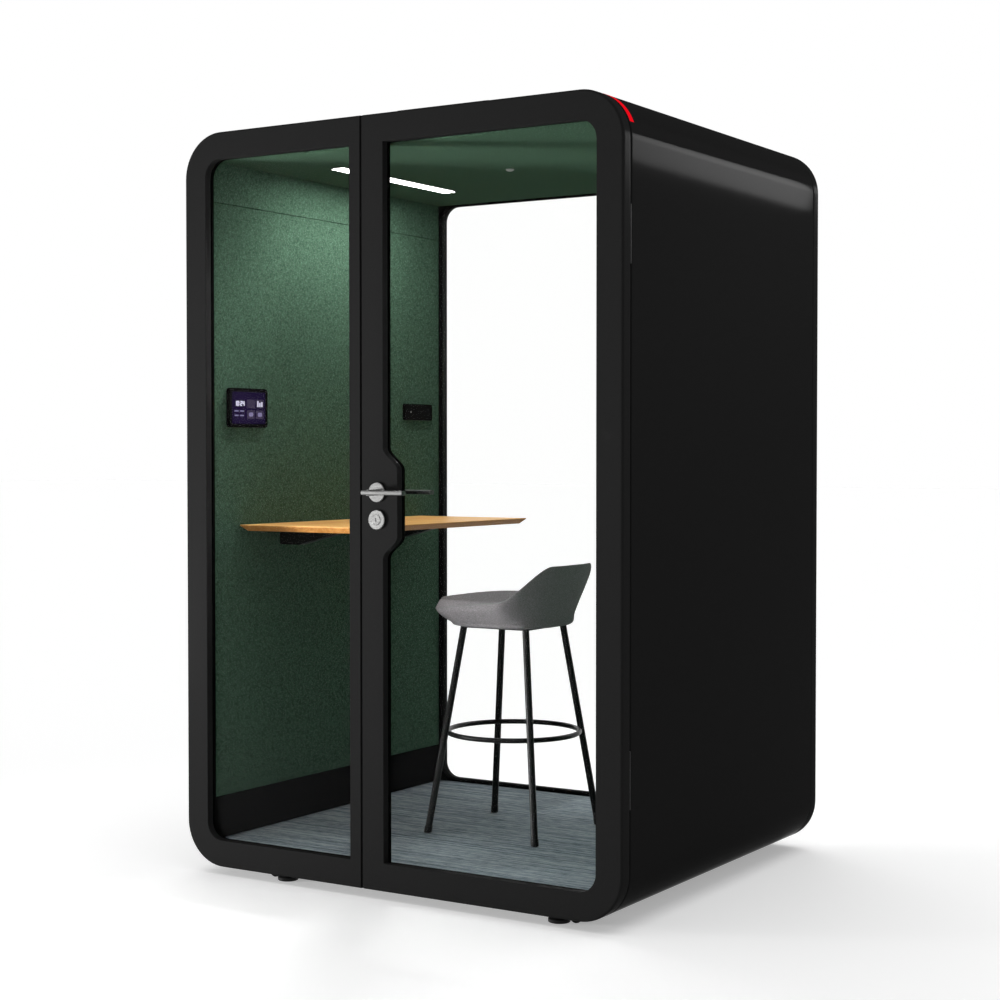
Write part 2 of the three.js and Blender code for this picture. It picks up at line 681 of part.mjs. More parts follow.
// Ceiling light and presence sensor
function buildCeilingFittings() {
  const outer = lightPlan(0);
  const inner = lightPlan(-LIGHT_WALL);
  const low = CEILING - LIGHT_PROUD;
  const channel = box(inner.x0, inner.x1, inner.y0, inner.y1, -FAR, low + LIGHT_DEPTH - LIGHT_WALL);
  const housing = box(outer.x0, outer.x1, outer.y0, outer.y1, low, low + LIGHT_DEPTH);
  part('light_housing', cut(housing, channel), 'dark_metal');
  const lens = lightPlan(-LIGHT_WALL - FIT);
  const lensLow = low + DIFFUSER_RECESS;
  const diffuser = box(lens.x0, lens.x1, lens.y0, lens.y1, lensLow, lensLow + DIFFUSER_THICKNESS);
  part('light_diffuser', diffuser, 'white_light');
  const dome = arc(0, 0, 1, -90, 0, SMALL_STEPS).map((p) => [p.x * SENSOR_RADIUS, p.y * SENSOR_DOME - FIT]);
  const stem = [[SENSOR_STEM_RADIUS, -FIT], [SENSOR_STEM_RADIUS, CEILING_BOARD], [0, CEILING_BOARD]];
  part('ceiling_sensor', revolve([...dome, ...stem], 'z', [0, MID_DEPTH, CEILING]), 'grey_plastic');
}

// Sidelight and door leaf share one front slab; the door's front lip covers the sidelight's tongue
function buildFront() {
  const slab = podSlab(0, LEAF_DEPTH, FRONT_EDGE_RADIUS, SEAM_EDGE_RADIUS);
  const sidelight = cut(slab,
    box(MEETING - MEETING_GAP / 2, FAR, -FAR, LIP_DEPTH + REBATE_GAP, -FAR, FAR),
    box(TONGUE_EDGE, FAR, -FAR, FAR, -FAR, FAR),
    prism(sidelightOpening(0), 'y', -FAR, FAR),
    prism(sidelightOpening(REBATE), 'y', GLASS_SETBACK, FAR),
    strikeRecess());
  part('sidelight_frame', sidelight, 'black_coat');
  glaze('sidelight', sidelightOpening);

  const door = cut(slab,
    box(-FAR, DOOR_EDGE, -FAR, FAR, -FAR, FAR),
    box(-FAR, DOOR_REAR_EDGE, LIP_DEPTH, FAR, -FAR, FAR),
    prism(doorOpening(0), 'y', -FAR, FAR),
    prism(doorOpening(REBATE), 'y', GLASS_SETBACK, FAR),
    lockMortise(),
    ...hingeLevels.map((level) => hingePocket(level, LEAF_DEPTH - HINGE_PLATE - 2 * FIT, FAR)));
  part('door_frame', door, 'black_coat');
  glaze('door', doorOpening);

  const ring = podOutline(SEAL_INSET + SEAL_WIDTH);
  const seal = prism(podOutline(SEAL_INSET), 'y', LEAF_DEPTH + FIT, SHELL_FRONT - FIT, [ring]);
  part('front_seal', seal, 'rubber');
}

/** Glass pane in the rebate of a front leaf, and the bead that holds it from behind. */
function glaze(name, opening) {
  part(`${name}_glass`, prism(opening(GLASS_COVER), 'y', GLASS_SETBACK + FIT, GLASS_BACK), 'glass');
  const bead = prism(opening(REBATE - FIT), 'y', GLASS_BACK + FIT, LEAF_DEPTH, [opening(BEAD_SIGHT)]);
  part(`${name}_bead`, bead, 'black_trim');
}

// Back frame with one full pane
function buildBack() {
  const glassBack = POD_DEPTH - REAR_GLASS_SETBACK - FIT;
  const glassFront = glassBack - GLASS_THICKNESS;
  const frame = cut(podSlab(REAR_FRONT, POD_DEPTH, SEAM_EDGE_RADIUS, FRONT_EDGE_RADIUS),
    prism(rearOpening(0), 'y', -FAR, FAR),
    prism(rearOpening(REBATE), 'y', -FAR, POD_DEPTH - REAR_GLASS_SETBACK));
  part('rear_frame', frame, 'black_coat');
  part('rear_glass', prism(rearOpening(GLASS_COVER), 'y', glassFront, glassBack), 'glass');
  const sight = rearOpening(BEAD_SIGHT);
  const bead = prism(rearOpening(REBATE - FIT), 'y', REAR_FRONT, glassFront - FIT, [sight]);
  part('rear_bead', bead, 'black_trim');
}

// Hinges: a door half with one knuckle turns on the pin of the frame half
function buildHinges() {
  hingeLevels.forEach((level, i) => {
    const name = ['lower', 'upper'][i];
    const middle = level + HINGE_LENGTH / 2;
    const gapLow = middle - DOOR_KNUCKLE / 2;
    const gapHigh = middle + DOOR_KNUCKLE / 2;
    const tab = KNUCKLE_RADIUS + KNUCKLE_CLEARANCE + FIT;
    const doorBack = LEAF_DEPTH - FIT;
    const frameFront = SHELL_FRONT + FIT;
    const left = HINGE_X - HINGE_PLATE_WIDTH;
    const knuckle = (low, high) => cylinder('z', HINGE_X, HINGE_Y, KNUCKLE_RADIUS, low, high, FINE_STEPS);
    const leaf = (front, back) => box(left, HINGE_X - tab, front, back, level, level + HINGE_LENGTH);
    const link = (front, back, low, high) => box(HINGE_X - tab - OVERLAP, HINGE_X, front, back, low, high);
    const bore = cylinder('z', HINGE_X, HINGE_Y, PIN_RADIUS + PIN_CLEARANCE, -FAR, FAR, FINE_STEPS);
    const doorFront = doorBack - HINGE_PLATE;
    const doorKnuckle = link(doorFront, doorBack, gapLow, gapHigh).add(knuckle(gapLow, gapHigh));
    const doorHalf = leaf(doorFront, doorBack).add(doorKnuckle).subtract(bore);
    part(`${name}_hinge_door_half`, doorHalf, 'black_steel');
    const frameBack = frameFront + HINGE_PLATE;
    const ends = [[level, gapLow - KNUCKLE_GAP], [gapHigh + KNUCKLE_GAP, level + HINGE_LENGTH]];
    const frameKnuckles = ends.map(([low, high]) => (
      link(frameFront, frameBack, low, high).add(knuckle(low, high))
    ));
    const pin = cylinder('z', HINGE_X, HINGE_Y, PIN_RADIUS, level, level + HINGE_LENGTH, FINE_STEPS);
    const frameHalf = join([leaf(frameFront, frameBack), ...frameKnuckles, pin]);
    part(`${name}_hinge_frame_half`, frameHalf, 'black_steel');
  });
}

const boltFront = LOCK_DEPTH - BOLT_DEPTH / 2;
const boltBack = LOCK_DEPTH + BOLT_DEPTH / 2;

/** Bolt, or its channel when grown, between two places across the door. */
function bolt(from, to, level, grow) {
  const half = BOLT_HEIGHT / 2 + grow;
  return box(from, to, boltFront - grow, boltBack + grow, level - half, level + half);
}

/** Lock case with its forend, grown by a clearance when it is the mortise. */
function caseBlock(grow) {
  const edge = DOOR_REAR_EDGE + FIT;
  const half = CASE_DEPTH / 2 + grow;
  const tall = CASE_HEIGHT / 2 + grow;
  const body = box(edge, DOOR_REAR_EDGE + CASE_LENGTH + grow, LOCK_DEPTH - half, LOCK_DEPTH + half,
    LOCK_MIDDLE - tall, LOCK_MIDDLE + tall);
  const width = FOREND_WIDTH / 2 + grow;
  const forend = FOREND_HEIGHT / 2 + grow;
  return body.add(box(edge, edge + FOREND_THICKNESS + grow, LOCK_DEPTH - width, LOCK_DEPTH + width,
    LOCK_MIDDLE - forend, LOCK_MIDDLE + forend));
}

/** What is cut from the door stile for the lock: mortise and holes for spindle, cylinder and turn. */
function lockMortise() {
  const halfWidth = FOREND_WIDTH / 2 + FIT;
  const halfHeight = FOREND_HEIGHT / 2 + FIT;
  const open = box(DOOR_REAR_EDGE - OVERLAP, DOOR_REAR_EDGE + 2 * FIT,
    LOCK_DEPTH - halfWidth, LOCK_DEPTH + halfWidth,
    LOCK_MIDDLE - halfHeight, LOCK_MIDDLE + halfHeight);
  const back = LEAF_DEPTH + OVERLAP;
  return join([caseBlock(FIT), open,
    cylinder('y', SPINDLE_X, LEVER_HEIGHT, SPINDLE_SIDE, -OVERLAP, back),
    cylinder('y', SPINDLE_X, LOCK_HEIGHT, CYLINDER_RADIUS + FIT, -OVERLAP, LOCK_DEPTH),
    cylinder('y', SPINDLE_X, LOCK_HEIGHT, TURN_RADIUS + FIT, LOCK_DEPTH, back)]);
}

/** What is cut from the sidelight's tongue: the seat of the strike plate and the two bolt holes. */
function strikeRecess() {
  const seat = strikeBlock(FIT, FAR);
  const inner = TONGUE_EDGE - LATCH_THROW + TONGUE_GAP - STRIKE_CLEARANCE;
  const half = BOLT_HEIGHT / 2 + STRIKE_CLEARANCE;
  const latch = box(inner, FAR, LIP_DEPTH, boltBack + STRIKE_CLEARANCE,
    LEVER_HEIGHT - half, LEVER_HEIGHT + half);
  const dead = bolt(TONGUE_EDGE - DEADBOLT_THROW - STRIKE_CLEARANCE, FAR, LOCK_HEIGHT, STRIKE_CLEARANCE / 2);
  return join([seat, latch, dead]);
}

/** Strike plate let into the edge of the tongue, without its holes. */
function strikeBlock(grow, outer) {
  const half = FOREND_WIDTH / 2 + grow;
  const tall = FOREND_HEIGHT / 2 + grow;
  return box(TONGUE_EDGE - STRIKE_THICKNESS - grow, outer, LOCK_DEPTH - half, LOCK_DEPTH + half,
    LOCK_MIDDLE - tall, LOCK_MIDDLE + tall);
}

// Lock case, bolts, strike plate, levers, roses, cylinder and thumb turn
function buildLock() {
  const latchNose = DOOR_REAR_EDGE - LATCH_THROW;
  const deadNose = DOOR_REAR_EDGE + FIT;
  const channelEnd = latchNose + LATCH_LENGTH + LATCH_THROW + FIT;
  part('lock_case', cut(caseBlock(0),
    bolt(-FAR, channelEnd, LEVER_HEIGHT, FIT),
    bolt(-FAR, deadNose + DEADBOLT_LENGTH + FIT, LOCK_HEIGHT, FIT),
    cylinder('y', SPINDLE_X, LEVER_HEIGHT, SPINDLE_SIDE, -FAR, FAR),
    cylinder('y', SPINDLE_X, LOCK_HEIGHT, CYLINDER_RADIUS + FIT, -FAR, FAR)), 'satin_metal');

  const slope = BOLT_DEPTH / 2;
  const latchTail = latchNose + LATCH_LENGTH;
  const plan = [
    [latchNose, boltBack],
    [latchNose, boltBack - slope],
    [latchNose + slope, boltFront],
    [latchTail, boltFront],
    [latchTail, boltBack],
  ].map(([u, v]) => new THREE.Vector2(u, v));
  const latch = prism(plan, 'z', LEVER_HEIGHT - BOLT_HEIGHT / 2, LEVER_HEIGHT + BOLT_HEIGHT / 2);
  part('latch_bolt', latch, 'satin_metal');
  part('dead_bolt', bolt(deadNose, deadNose + DEADBOLT_LENGTH, LOCK_HEIGHT, 0), 'satin_metal');

  const latchHole = BOLT_HEIGHT / 2 + STRIKE_CLEARANCE;
  part('strike_plate', cut(strikeBlock(0, TONGUE_EDGE),
    box(-FAR, FAR, -FAR, boltBack + STRIKE_CLEARANCE, LEVER_HEIGHT - latchHole, LEVER_HEIGHT + latchHole),
    bolt(-FAR, FAR, LOCK_HEIGHT, STRIKE_CLEARANCE / 2)), 'satin_metal');

  const rose = (hole) => [
    [hole, 0],
    [ROSE_RADIUS, 0],
    [ROSE_RADIUS, ROSE_THICKNESS - HARDWARE_EDGE],
    [ROSE_RADIUS - HARDWARE_EDGE, ROSE_THICKNESS],
    [hole, ROSE_THICKNESS],
    [hole, 0],
  ];
  const facing = (profile, y, sign) => profile.map(([r, h]) => [r, y + sign * (FIT + h)]);
  const lever = (profile) => revolve(profile, 'y', [SPINDLE_X, 0, LEVER_HEIGHT]);
  const lock = (profile) => revolve(profile, 'y', [SPINDLE_X, 0, LOCK_HEIGHT]);
  part('outer_lever_rose', lever(facing(rose(NECK_RADIUS + FIT), 0, -1)), 'satin_metal');
  part('inner_lever_rose', lever(facing(rose(NECK_RADIUS + FIT), LEAF_DEPTH, 1)), 'satin_metal');
  part('outer_lock_rose', lock(facing(rose(CYLINDER_FACE_RADIUS + FIT), 0, -1)), 'satin_metal');

  const face = ROSE_THICKNESS + FIT + HARDWARE_EDGE;
  const key = box(SPINDLE_X - KEY_SLOT_WIDTH / 2, SPINDLE_X + KEY_SLOT_WIDTH / 2,
    -FAR, KEY_SLOT_DEPTH - face,
    LOCK_HEIGHT - KEY_SLOT_HEIGHT / 2, LOCK_HEIGHT + KEY_SLOT_HEIGHT / 2);
  const barrel = [
    [0, -face],
    [CYLINDER_FACE_RADIUS - HARDWARE_EDGE, -face],
    [CYLINDER_FACE_RADIUS, HARDWARE_EDGE - face],
    [CYLINDER_FACE_RADIUS, -FIT],
    [CYLINDER_RADIUS, -FIT],
    [CYLINDER_RADIUS, LOCK_DEPTH - FIT],
    [0, LOCK_DEPTH - FIT],
  ];
  part('lock_cylinder', lock(barrel).subtract(key), 'satin_metal');

  const turnBase = LEAF_DEPTH + FIT;
  const turnFace = turnBase + ROSE_THICKNESS;
  const flange = [
    [0, LOCK_DEPTH + FIT],
    [TURN_RADIUS, LOCK_DEPTH + FIT],
    [TURN_RADIUS, turnBase],
    [ROSE_RADIUS, turnBase],
    [ROSE_RADIUS, turnFace - HARDWARE_EDGE],
    [ROSE_RADIUS - HARDWARE_EDGE, turnFace],
    [0, turnFace],
  ];
  const grip = TURN_KNOB_THICKNESS / 2;
  const tall = TURN_KNOB_WIDTH / 2;
  const knobOutline = roundRectangle(SPINDLE_X - grip, SPINDLE_X + grip,
    LOCK_HEIGHT - tall, LOCK_HEIGHT + tall, grip - TURN_KNOB_FLAT / 2, SMALL_STEPS);
  const knob = prism(knobOutline, 'y', turnFace - OVERLAP, turnFace + TURN_KNOB_LENGTH);
  part('thumb_turn', lock(flange).add(knob), 'satin_metal');

  const half = SPINDLE_SIDE / 2;
  const barLow = LEVER_HEIGHT - LEVER_BAR_HEIGHT / 2;
  const bar = (front) => {
    const section = roundRectangle(front, front + LEVER_BAR_DEPTH, barLow, barLow + LEVER_BAR_HEIGHT,
      LEVER_BAR_RADIUS, SMALL_STEPS);
    return prism(section, 'x', SPINDLE_X - LEVER_HEEL, SPINDLE_X + LEVER_LENGTH);
  };
  const neck = (front, back) => cylinder('y', SPINDLE_X, LEVER_HEIGHT, NECK_RADIUS, front, back);
  const square = (front, back, grow) => box(SPINDLE_X - half - grow, SPINDLE_X + half + grow, front, back,
    LEVER_HEIGHT - half - grow, LEVER_HEIGHT + half + grow);
  const innerEnd = LEAF_DEPTH + FIT + SPINDLE_GRIP;
  const outerNeck = neck(-LEVER_REACH + LEVER_BAR_DEPTH / 2, -FIT);
  part('outer_lever', join([bar(-LEVER_REACH), outerNeck, square(-OVERLAP, innerEnd, 0)]), 'satin_metal');
  const innerBar = LEAF_DEPTH + LEVER_REACH - LEVER_BAR_DEPTH;
  part('inner_lever', cut(join([bar(innerBar), neck(LEAF_DEPTH + FIT, innerBar + LEVER_BAR_DEPTH / 2)]),
    square(0, innerEnd + FIT, FIT)), 'satin_metal');
}

// Wall devices: control panel with its screen, and the socket plate
function buildWallDevices() {
  const wall = -WALL_FACE + FIT;
  const controlBack = CONTROL_FROM_FRONT + CONTROL_LENGTH;
  const controlTop = CONTROL_BASE + CONTROL_HEIGHT;
  const control = (inset, radius) => roundRectangle(CONTROL_FROM_FRONT + inset, controlBack - inset,
    CONTROL_BASE + inset, controlTop - inset, radius, SMALL_STEPS);
  const face = wall + CONTROL_DEPTH;
  const panel = prism(control(0, CONTROL_RADIUS), 'x', wall, face);
  const recessOutline = control(CONTROL_BEZEL - FIT, SCREEN_RADIUS + FIT);
  const recess = prism(recessOutline, 'x', face - SCREEN_DEPTH - FIT, FAR);
  part('control_panel', panel.subtract(recess), 'black_plastic');
  const screen = prism(control(CONTROL_BEZEL, SCREEN_RADIUS), 'x', face - SCREEN_DEPTH, face - FIT);
  part('control_screen', screen, 'screen');
  const back = SHELL_BACK - SOCKET_FROM_BACK;
  const plate = (inset) => roundRectangle(back - SOCKET_LENGTH + inset, back - inset, SOCKET_BASE + inset,
    SOCKET_BASE + SOCKET_HEIGHT - inset, SOCKET_RADIUS - inset / 2, SMALL_STEPS);
  part('socket_plate', cut(prism(plate(0), 'x', wall, wall + SOCKET_DEPTH),
    prism(plate(SOCKET_RIM), 'x', wall + SOCKET_DEPTH - SOCKET_RECESS, FAR)), 'black_plastic');
}

// Desk top with under-bevelled edges, and the two folded brackets that carry it from the wall
function buildDesk() {
  const wall = -WALL_FACE + FIT;
  const front = MID_DEPTH - DESK_LENGTH / 2;
  const ring = (inset, z) => roundRectangle(wall + inset, wall + DESK_REACH - inset, front + inset,
    front + DESK_LENGTH - inset, DESK_CORNER, SMALL_STEPS).map((p) => new THREE.Vector3(p.x, p.y, z));
  const under = DESK_HEIGHT - DESK_THICKNESS;
  const rings = [ring(DESK_BEVEL, under), ring(0, DESK_HEIGHT - DESK_LIP), ring(0, DESK_HEIGHT)];
  part('desk_top', loft(rings), 'oak');

  const top = under - FIT;
  const low = top - BRACKET_DROP;
  const cheek = (start, lift) => [
    [start, low + lift],
    [wall + BRACKET_FLAT, low + lift],
    [wall + BRACKET_REACH, top - BRACKET_TIP + lift],
    [wall + BRACKET_REACH, top + BRACKET_WALL],
    [start, top + BRACKET_WALL],
  ].map(([u, v]) => new THREE.Vector2(u, v));
  const belowDesk = box(-FAR, FAR, -FAR, FAR, -FAR, top);
  for (const [end, sign] of [['front', -1], ['rear', 1]]) {
    const y0 = MID_DEPTH + (sign * BRACKET_SPACING - BRACKET_WIDTH) / 2;
    const y1 = y0 + BRACKET_WIDTH;
    const inside = cheek(wall + BRACKET_WALL, BRACKET_WALL);
    const hollow = prism(inside, 'y', y0 + BRACKET_WALL, y1 - BRACKET_WALL);
    const folded = prism(cheek(wall, 0), 'y', y0, y1).subtract(hollow);
    part(`desk_bracket_${end}`, folded.intersect(belowDesk), 'black_steel');
  }
}

// Roof ventilation unit: a louvred hood over the duct, with a fan on the motor's pin
function buildVentilation() {
  const base = POD_HEIGHT + FIT;
  const top = base + VENT_HEIGHT;
  const y0 = VENT_SETBACK;
  const y1 = VENT_SETBACK + VENT_LENGTH;
  const half = VENT_WIDTH / 2;
  const middle = (y0 + y1) / 2;
  const shoulder = top - VENT_TOP_BEVEL;
  const plan = (inset) => (
    roundRectangle(-half + inset, half - inset, y0 + inset, y1 - inset, VENT_CORNER - inset, SMALL_STEPS)
  );
  const hood = loft([[0, base], [0, shoulder], [VENT_TOP_BEVEL, top]]
    .map(([inset, z]) => plan(inset).map((p) => new THREE.Vector3(p.x, p.y, z))));
  const hubTop = shoulder - VENT_WALL;
  const room = prism(plan(VENT_WALL), 'z', -FAR, hubTop);
  const louvres = Array.from({ length: LOUVRE_COUNT }, (_, i) => {
    const z = base + ((shoulder - base) * (i + 1)) / (LOUVRE_COUNT + 1) - LOUVRE_HEIGHT / 2;
    const across = box(-half + LOUVRE_MARGIN, half - LOUVRE_MARGIN, middle, FAR, z, z + LOUVRE_HEIGHT);
    return across.add(box(-FAR, FAR, y0 + LOUVRE_MARGIN, y1 - LOUVRE_MARGIN, z, z + LOUVRE_HEIGHT));
  });
  const fanTop = (base + hubTop + FAN_HEIGHT) / 2;
  const fanLow = fanTop - FAN_HEIGHT;
  const motor = cylinder('z', 0, middle, MOTOR_RADIUS, fanTop + FAN_GAP, hubTop + OVERLAP);
  const pin = cylinder('z', 0, middle, FAN_PIN_RADIUS, fanLow, hubTop);
  part('vent_hood', join([cut(hood, room, ...louvres), motor, pin]), 'black_coat');

  const pitch = THREE.MathUtils.degToRad(FAN_BLADE_PITCH);
  const length = FAN_RADIUS - FAN_HUB_RADIUS / 2;
  const width = (FAN_BLADE_SHARE * (FAN_HEIGHT - FAN_BLADE_THICKNESS)) / Math.sin(pitch);
  const blades = Array.from({ length: FAN_BLADES }, (_, i) => {
    const blade = new THREE.BoxGeometry(length, width, FAN_BLADE_THICKNESS);
    blade.rotateX(pitch);
    blade.translate(FAN_RADIUS - length / 2, 0, 0);
    blade.rotateZ((2 * Math.PI * i) / FAN_BLADES);
    blade.translate(0, middle, (fanLow + fanTop) / 2);
    return solid(blade);
  });
  const hub = cylinder('z', 0, middle, FAN_HUB_RADIUS, fanLow, fanTop);
  const bore = cylinder('z', 0, middle, FAN_PIN_RADIUS + FAN_PIN_CLEARANCE, -FAR, FAR);
  part('fan_rotor', cut(join([hub, ...blades]), bore), 'grey_plastic');
}

/** Tube between two points. */
function tube(from, to, radius) {
  const path = new THREE.LineCurve3(from, to);
  const shape = new THREE.Shape(circle(0, 0, radius, FINE_STEPS));
  return solid(new THREE.ExtrudeGeometry(shape, { steps: 1, bevelEnabled: false, extrudePath: path }));
}

// Stool: a welded frame of four splayed legs and a foot ring, and an upholstered bucket seat
function buildStool() {
  const floor = CARPET_TOP + FIT;
  const plateTop = floor + STOOL_FRAME_HEIGHT;
  const plateLow = plateTop - STOOL_PLATE;
  const at = (x, y, z) => new THREE.Vector3(STOOL_X + x, STOOL_FROM_FRONT + y, z);
  const splay = (STOOL_FOOT_SPREAD - STOOL_TOP_SPREAD) / STOOL_FRAME_HEIGHT;
  const below = STOOL_LEG_RADIUS;
  const legs = [[-1, -1], [1, -1], [1, 1], [-1, 1]].map(([sx, sy]) => {
    const foot = STOOL_FOOT_SPREAD + splay * below;
    const head = STOOL_TOP_SPREAD;
    const low = at(sx * foot, sy * foot, floor - below);
    return tube(low, at(sx * head, sy * head, plateTop), STOOL_LEG_RADIUS);
  });
  const ring = new THREE.TorusGeometry(STOOL_RING_RADIUS, STOOL_RING_TUBE, 8, 2 * ROUND_STEPS);
  ring.translate(...at(0, 0, floor + STOOL_RING_HEIGHT).toArray());
  const reach = STOOL_TOP_SPREAD + STOOL_LEG_RADIUS;
  const plateOutline = roundRectangle(STOOL_X - reach, STOOL_X + reach, STOOL_FROM_FRONT - reach,
    STOOL_FROM_FRONT + reach, STOOL_LEG_RADIUS, SMALL_STEPS);
  const plate = prism(plateOutline, 'z', plateLow, plateTop);
  const frame = join([...legs, solid(ring), plate]);
  part('stool_frame', frame.intersect(box(-FAR, FAR, -FAR, FAR, floor, plateTop)), 'black_steel');
  part('stool_seat', loft(seatRings(plateTop + FIT)), 'upholstery');
}

/** Distance from the middle to a rounded square of a half width, in a direction. */
function squareReach(half, angle) {
  const across = Math.abs(Math.cos(angle)) ** SEAT_SQUARENESS;
  const along = Math.abs(Math.sin(angle)) ** SEAT_SQUARENESS;
  return half / (across + along) ** (1 / SEAT_SQUARENESS);
}

/** Share, from 0 to 1, of a turn away from the middle of the back between two limits in degrees. */
function turnShare(angle, [from, to]) {
  const wrapped = THREE.MathUtils.euclideanModulo(angle + Math.PI, 2 * Math.PI) - Math.PI;
  return THREE.MathUtils.smoothstep(THREE.MathUtils.radToDeg(Math.abs(wrapped)), from, to);
}

/** Rim height over the seat's base: high behind, falling along the sides and low in front. */
function rimHeight(angle) {
  const side = THREE.MathUtils.lerp(SEAT_RIM_SIDE, SEAT_RIM_FRONT, turnShare(angle, SEAT_SIDE_DROP));
  return side + (SEAT_RIM_BACK - SEAT_RIM_SIDE) * (1 - turnShare(angle, SEAT_BACK_DROP));
}

/** Thickness of the padded rim: thin in front, and growing with the height of the back over the pad. */
function rimThickness(angle) {
  const over = Math.max(0, rimHeight(angle) - SEAT_PAD_HEIGHT);
  return Math.min(SEAT_EDGE_THICKNESS + over / 2, SEAT_BACK_THICKNESS);
}

/** Rings of the seat, from the middle of its underside out over the rim and in to the middle of its pad. */
function seatRings(base) {
  const angles = Array.from({ length: SEAT_STEPS }, (_, i) => (2 * Math.PI * i) / SEAT_STEPS);
  const ring = (reach, height) => angles.map((angle) => {
    const x = STOOL_X + reach(angle) * Math.cos(angle);
    const y = STOOL_FROM_FRONT + reach(angle) * Math.sin(angle);
    return new THREE.Vector3(x, y, base + height(angle));
  });
  const hull = (out) => (angle) => {
    const low = squareReach(SEAT_BASE_HALF, angle);
    const round = Math.sin((Math.PI / 2) * out);
    const share = THREE.MathUtils.lerp(out, round, SEAT_HULL_ROUND * turnShare(angle, SEAT_HULL_TURN));
    return THREE.MathUtils.lerp(low, squareReach(SEAT_HALF_WIDTH, angle), share);
  };
  const rim = hull(1);
  const roll = (down, up) => (angle) => {
    const height = rimHeight(angle);
    return THREE.MathUtils.lerp(height, SEAT_PAD_HEIGHT, height > SEAT_PAD_HEIGHT ? down : up);
  };
  return [
    ring((angle) => hull(0)(angle) / 2, () => 0),
    ...SEAT_HULL.map(([out, up]) => ring(hull(out), (angle) => rimHeight(angle) * up)),
    ...SEAT_ROLL.map(([into, down, up]) => (
      ring((angle) => rim(angle) - rimThickness(angle) * into, roll(down, up))
    )),
    ...SEAT_PAD.map(([out, crown]) => ring((angle) => rim(angle) * out,
      () => SEAT_PAD_HEIGHT + SEAT_PAD_CROWN * crown)),
  ];
}

buildShell();
buildLining();
buildCeilingFittings();
buildFront();
buildBack();
buildHinges();
buildLock();
buildWallDevices();
buildDesk();
buildVentilation();
buildSupports();
buildStool();

// The origin is on the floor, under the middle of the whole object, outer lever included
pod.position.y = -(POD_DEPTH - LEVER_REACH) / 2;

export default pod;
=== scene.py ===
import math

import bmesh
import bpy
import mathutils
import numpy as np
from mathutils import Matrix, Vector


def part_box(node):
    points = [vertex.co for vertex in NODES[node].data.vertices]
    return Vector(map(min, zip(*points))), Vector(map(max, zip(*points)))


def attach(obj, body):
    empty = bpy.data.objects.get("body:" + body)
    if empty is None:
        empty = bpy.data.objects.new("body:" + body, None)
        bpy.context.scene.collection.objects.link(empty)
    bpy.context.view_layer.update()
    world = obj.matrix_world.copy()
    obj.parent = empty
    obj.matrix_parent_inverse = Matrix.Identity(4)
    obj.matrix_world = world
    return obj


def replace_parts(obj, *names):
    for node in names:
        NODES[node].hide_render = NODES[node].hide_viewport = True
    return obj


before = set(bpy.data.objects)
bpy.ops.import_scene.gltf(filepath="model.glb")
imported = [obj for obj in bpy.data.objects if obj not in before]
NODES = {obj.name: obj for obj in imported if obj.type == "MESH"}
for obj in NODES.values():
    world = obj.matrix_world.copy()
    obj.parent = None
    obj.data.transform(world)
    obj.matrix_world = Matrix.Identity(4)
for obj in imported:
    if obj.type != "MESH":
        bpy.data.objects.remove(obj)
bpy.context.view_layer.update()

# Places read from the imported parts, in metres
REAR_LOW, REAR_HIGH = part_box("rear_frame")
SIDE = REAR_HIGH.x
BOTTOM = REAR_LOW.z
TOP = REAR_HIGH.z
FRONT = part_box("sidelight_frame")[0].y
SHELL_LOW, SHELL_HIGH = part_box("right_shell")
SIDELIGHT_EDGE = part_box("sidelight_frame")[1].x
DOOR_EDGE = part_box("door_frame")[0].x
GLASS_COVER = 0.012
REAR_GLASS_LOW, REAR_GLASS_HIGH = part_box("rear_glass")
OPENING_SIDE = REAR_GLASS_HIGH.x - GLASS_COVER
OPENING_BOTTOM = REAR_GLASS_LOW.z + GLASS_COVER
OPENING_TOP = REAR_GLASS_HIGH.z - GLASS_COVER
DOOR_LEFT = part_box("door_glass")[0].x + GLASS_COVER
SIDELIGHT_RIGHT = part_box("sidelight_glass")[1].x - GLASS_COVER
CASE_LOW, CASE_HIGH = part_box("lock_case")

# Sizes of the frames and shells
CORNER = 0.138
OPENING_CORNER = 0.055
SHARP_CORNER = 0.002
SHELL_THICKNESS = 0.040
LEAF_DEPTH = 0.044
LEAF_BACK_TRIM = 0.0004
FRONT_ROUND = 0.007
SEAM_ROUND = 0.004
INNER_ROUND = 0.0015
MEETING_ROUND = 0.0012
LIP_DEPTH = 0.010
LIP_WIDTH = 0.015
MEETING_GAP = 0.005
TONGUE_DEPTH = 0.0106
POCKET_GAP = 0.0003
STRIKE_POCKET = 0.013
STEP_EASE = 0.0002
REBATE = 0.0135
GLASS_SETBACK = 0.024
REAR_SETBACK = 0.020
BULGE_REACH = 0.051
BULGE_STRAIGHT = 0.194
BULGE_RUN = 0.066
BULGE_MIDDLE = 1.165

# Stool seat: sizes over its base, degrees from the middle of its back, and its sections as shares
SEAT_LOW, SEAT_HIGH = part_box("stool_seat")
STOOL_X = (SEAT_LOW.x + SEAT_HIGH.x) / 2
STOOL_Y = (SEAT_LOW.y + SEAT_HIGH.y) / 2
SEAT_HALF = (SEAT_HIGH.x - SEAT_LOW.x) / 2
SEAT_BASE_HALF = 0.165
SEAT_RIM_FRONT = 0.044
SEAT_RIM_SIDE = 0.086
SEAT_RIM_BACK = SEAT_HIGH.z - SEAT_LOW.z
SEAT_PAD_HEIGHT = 0.091
SEAT_PAD_CROWN = 0.010
SEAT_EDGE_THICKNESS = 0.018
SEAT_BACK_THICKNESS = 0.040
SEAT_SQUARENESS = 3
SEAT_BACK_DROP = (28, 73)
SEAT_SIDE_DROP = (60, 180)
SEAT_HULL_TURN = (40, 100)
SEAT_HULL_ROUND = 0.6
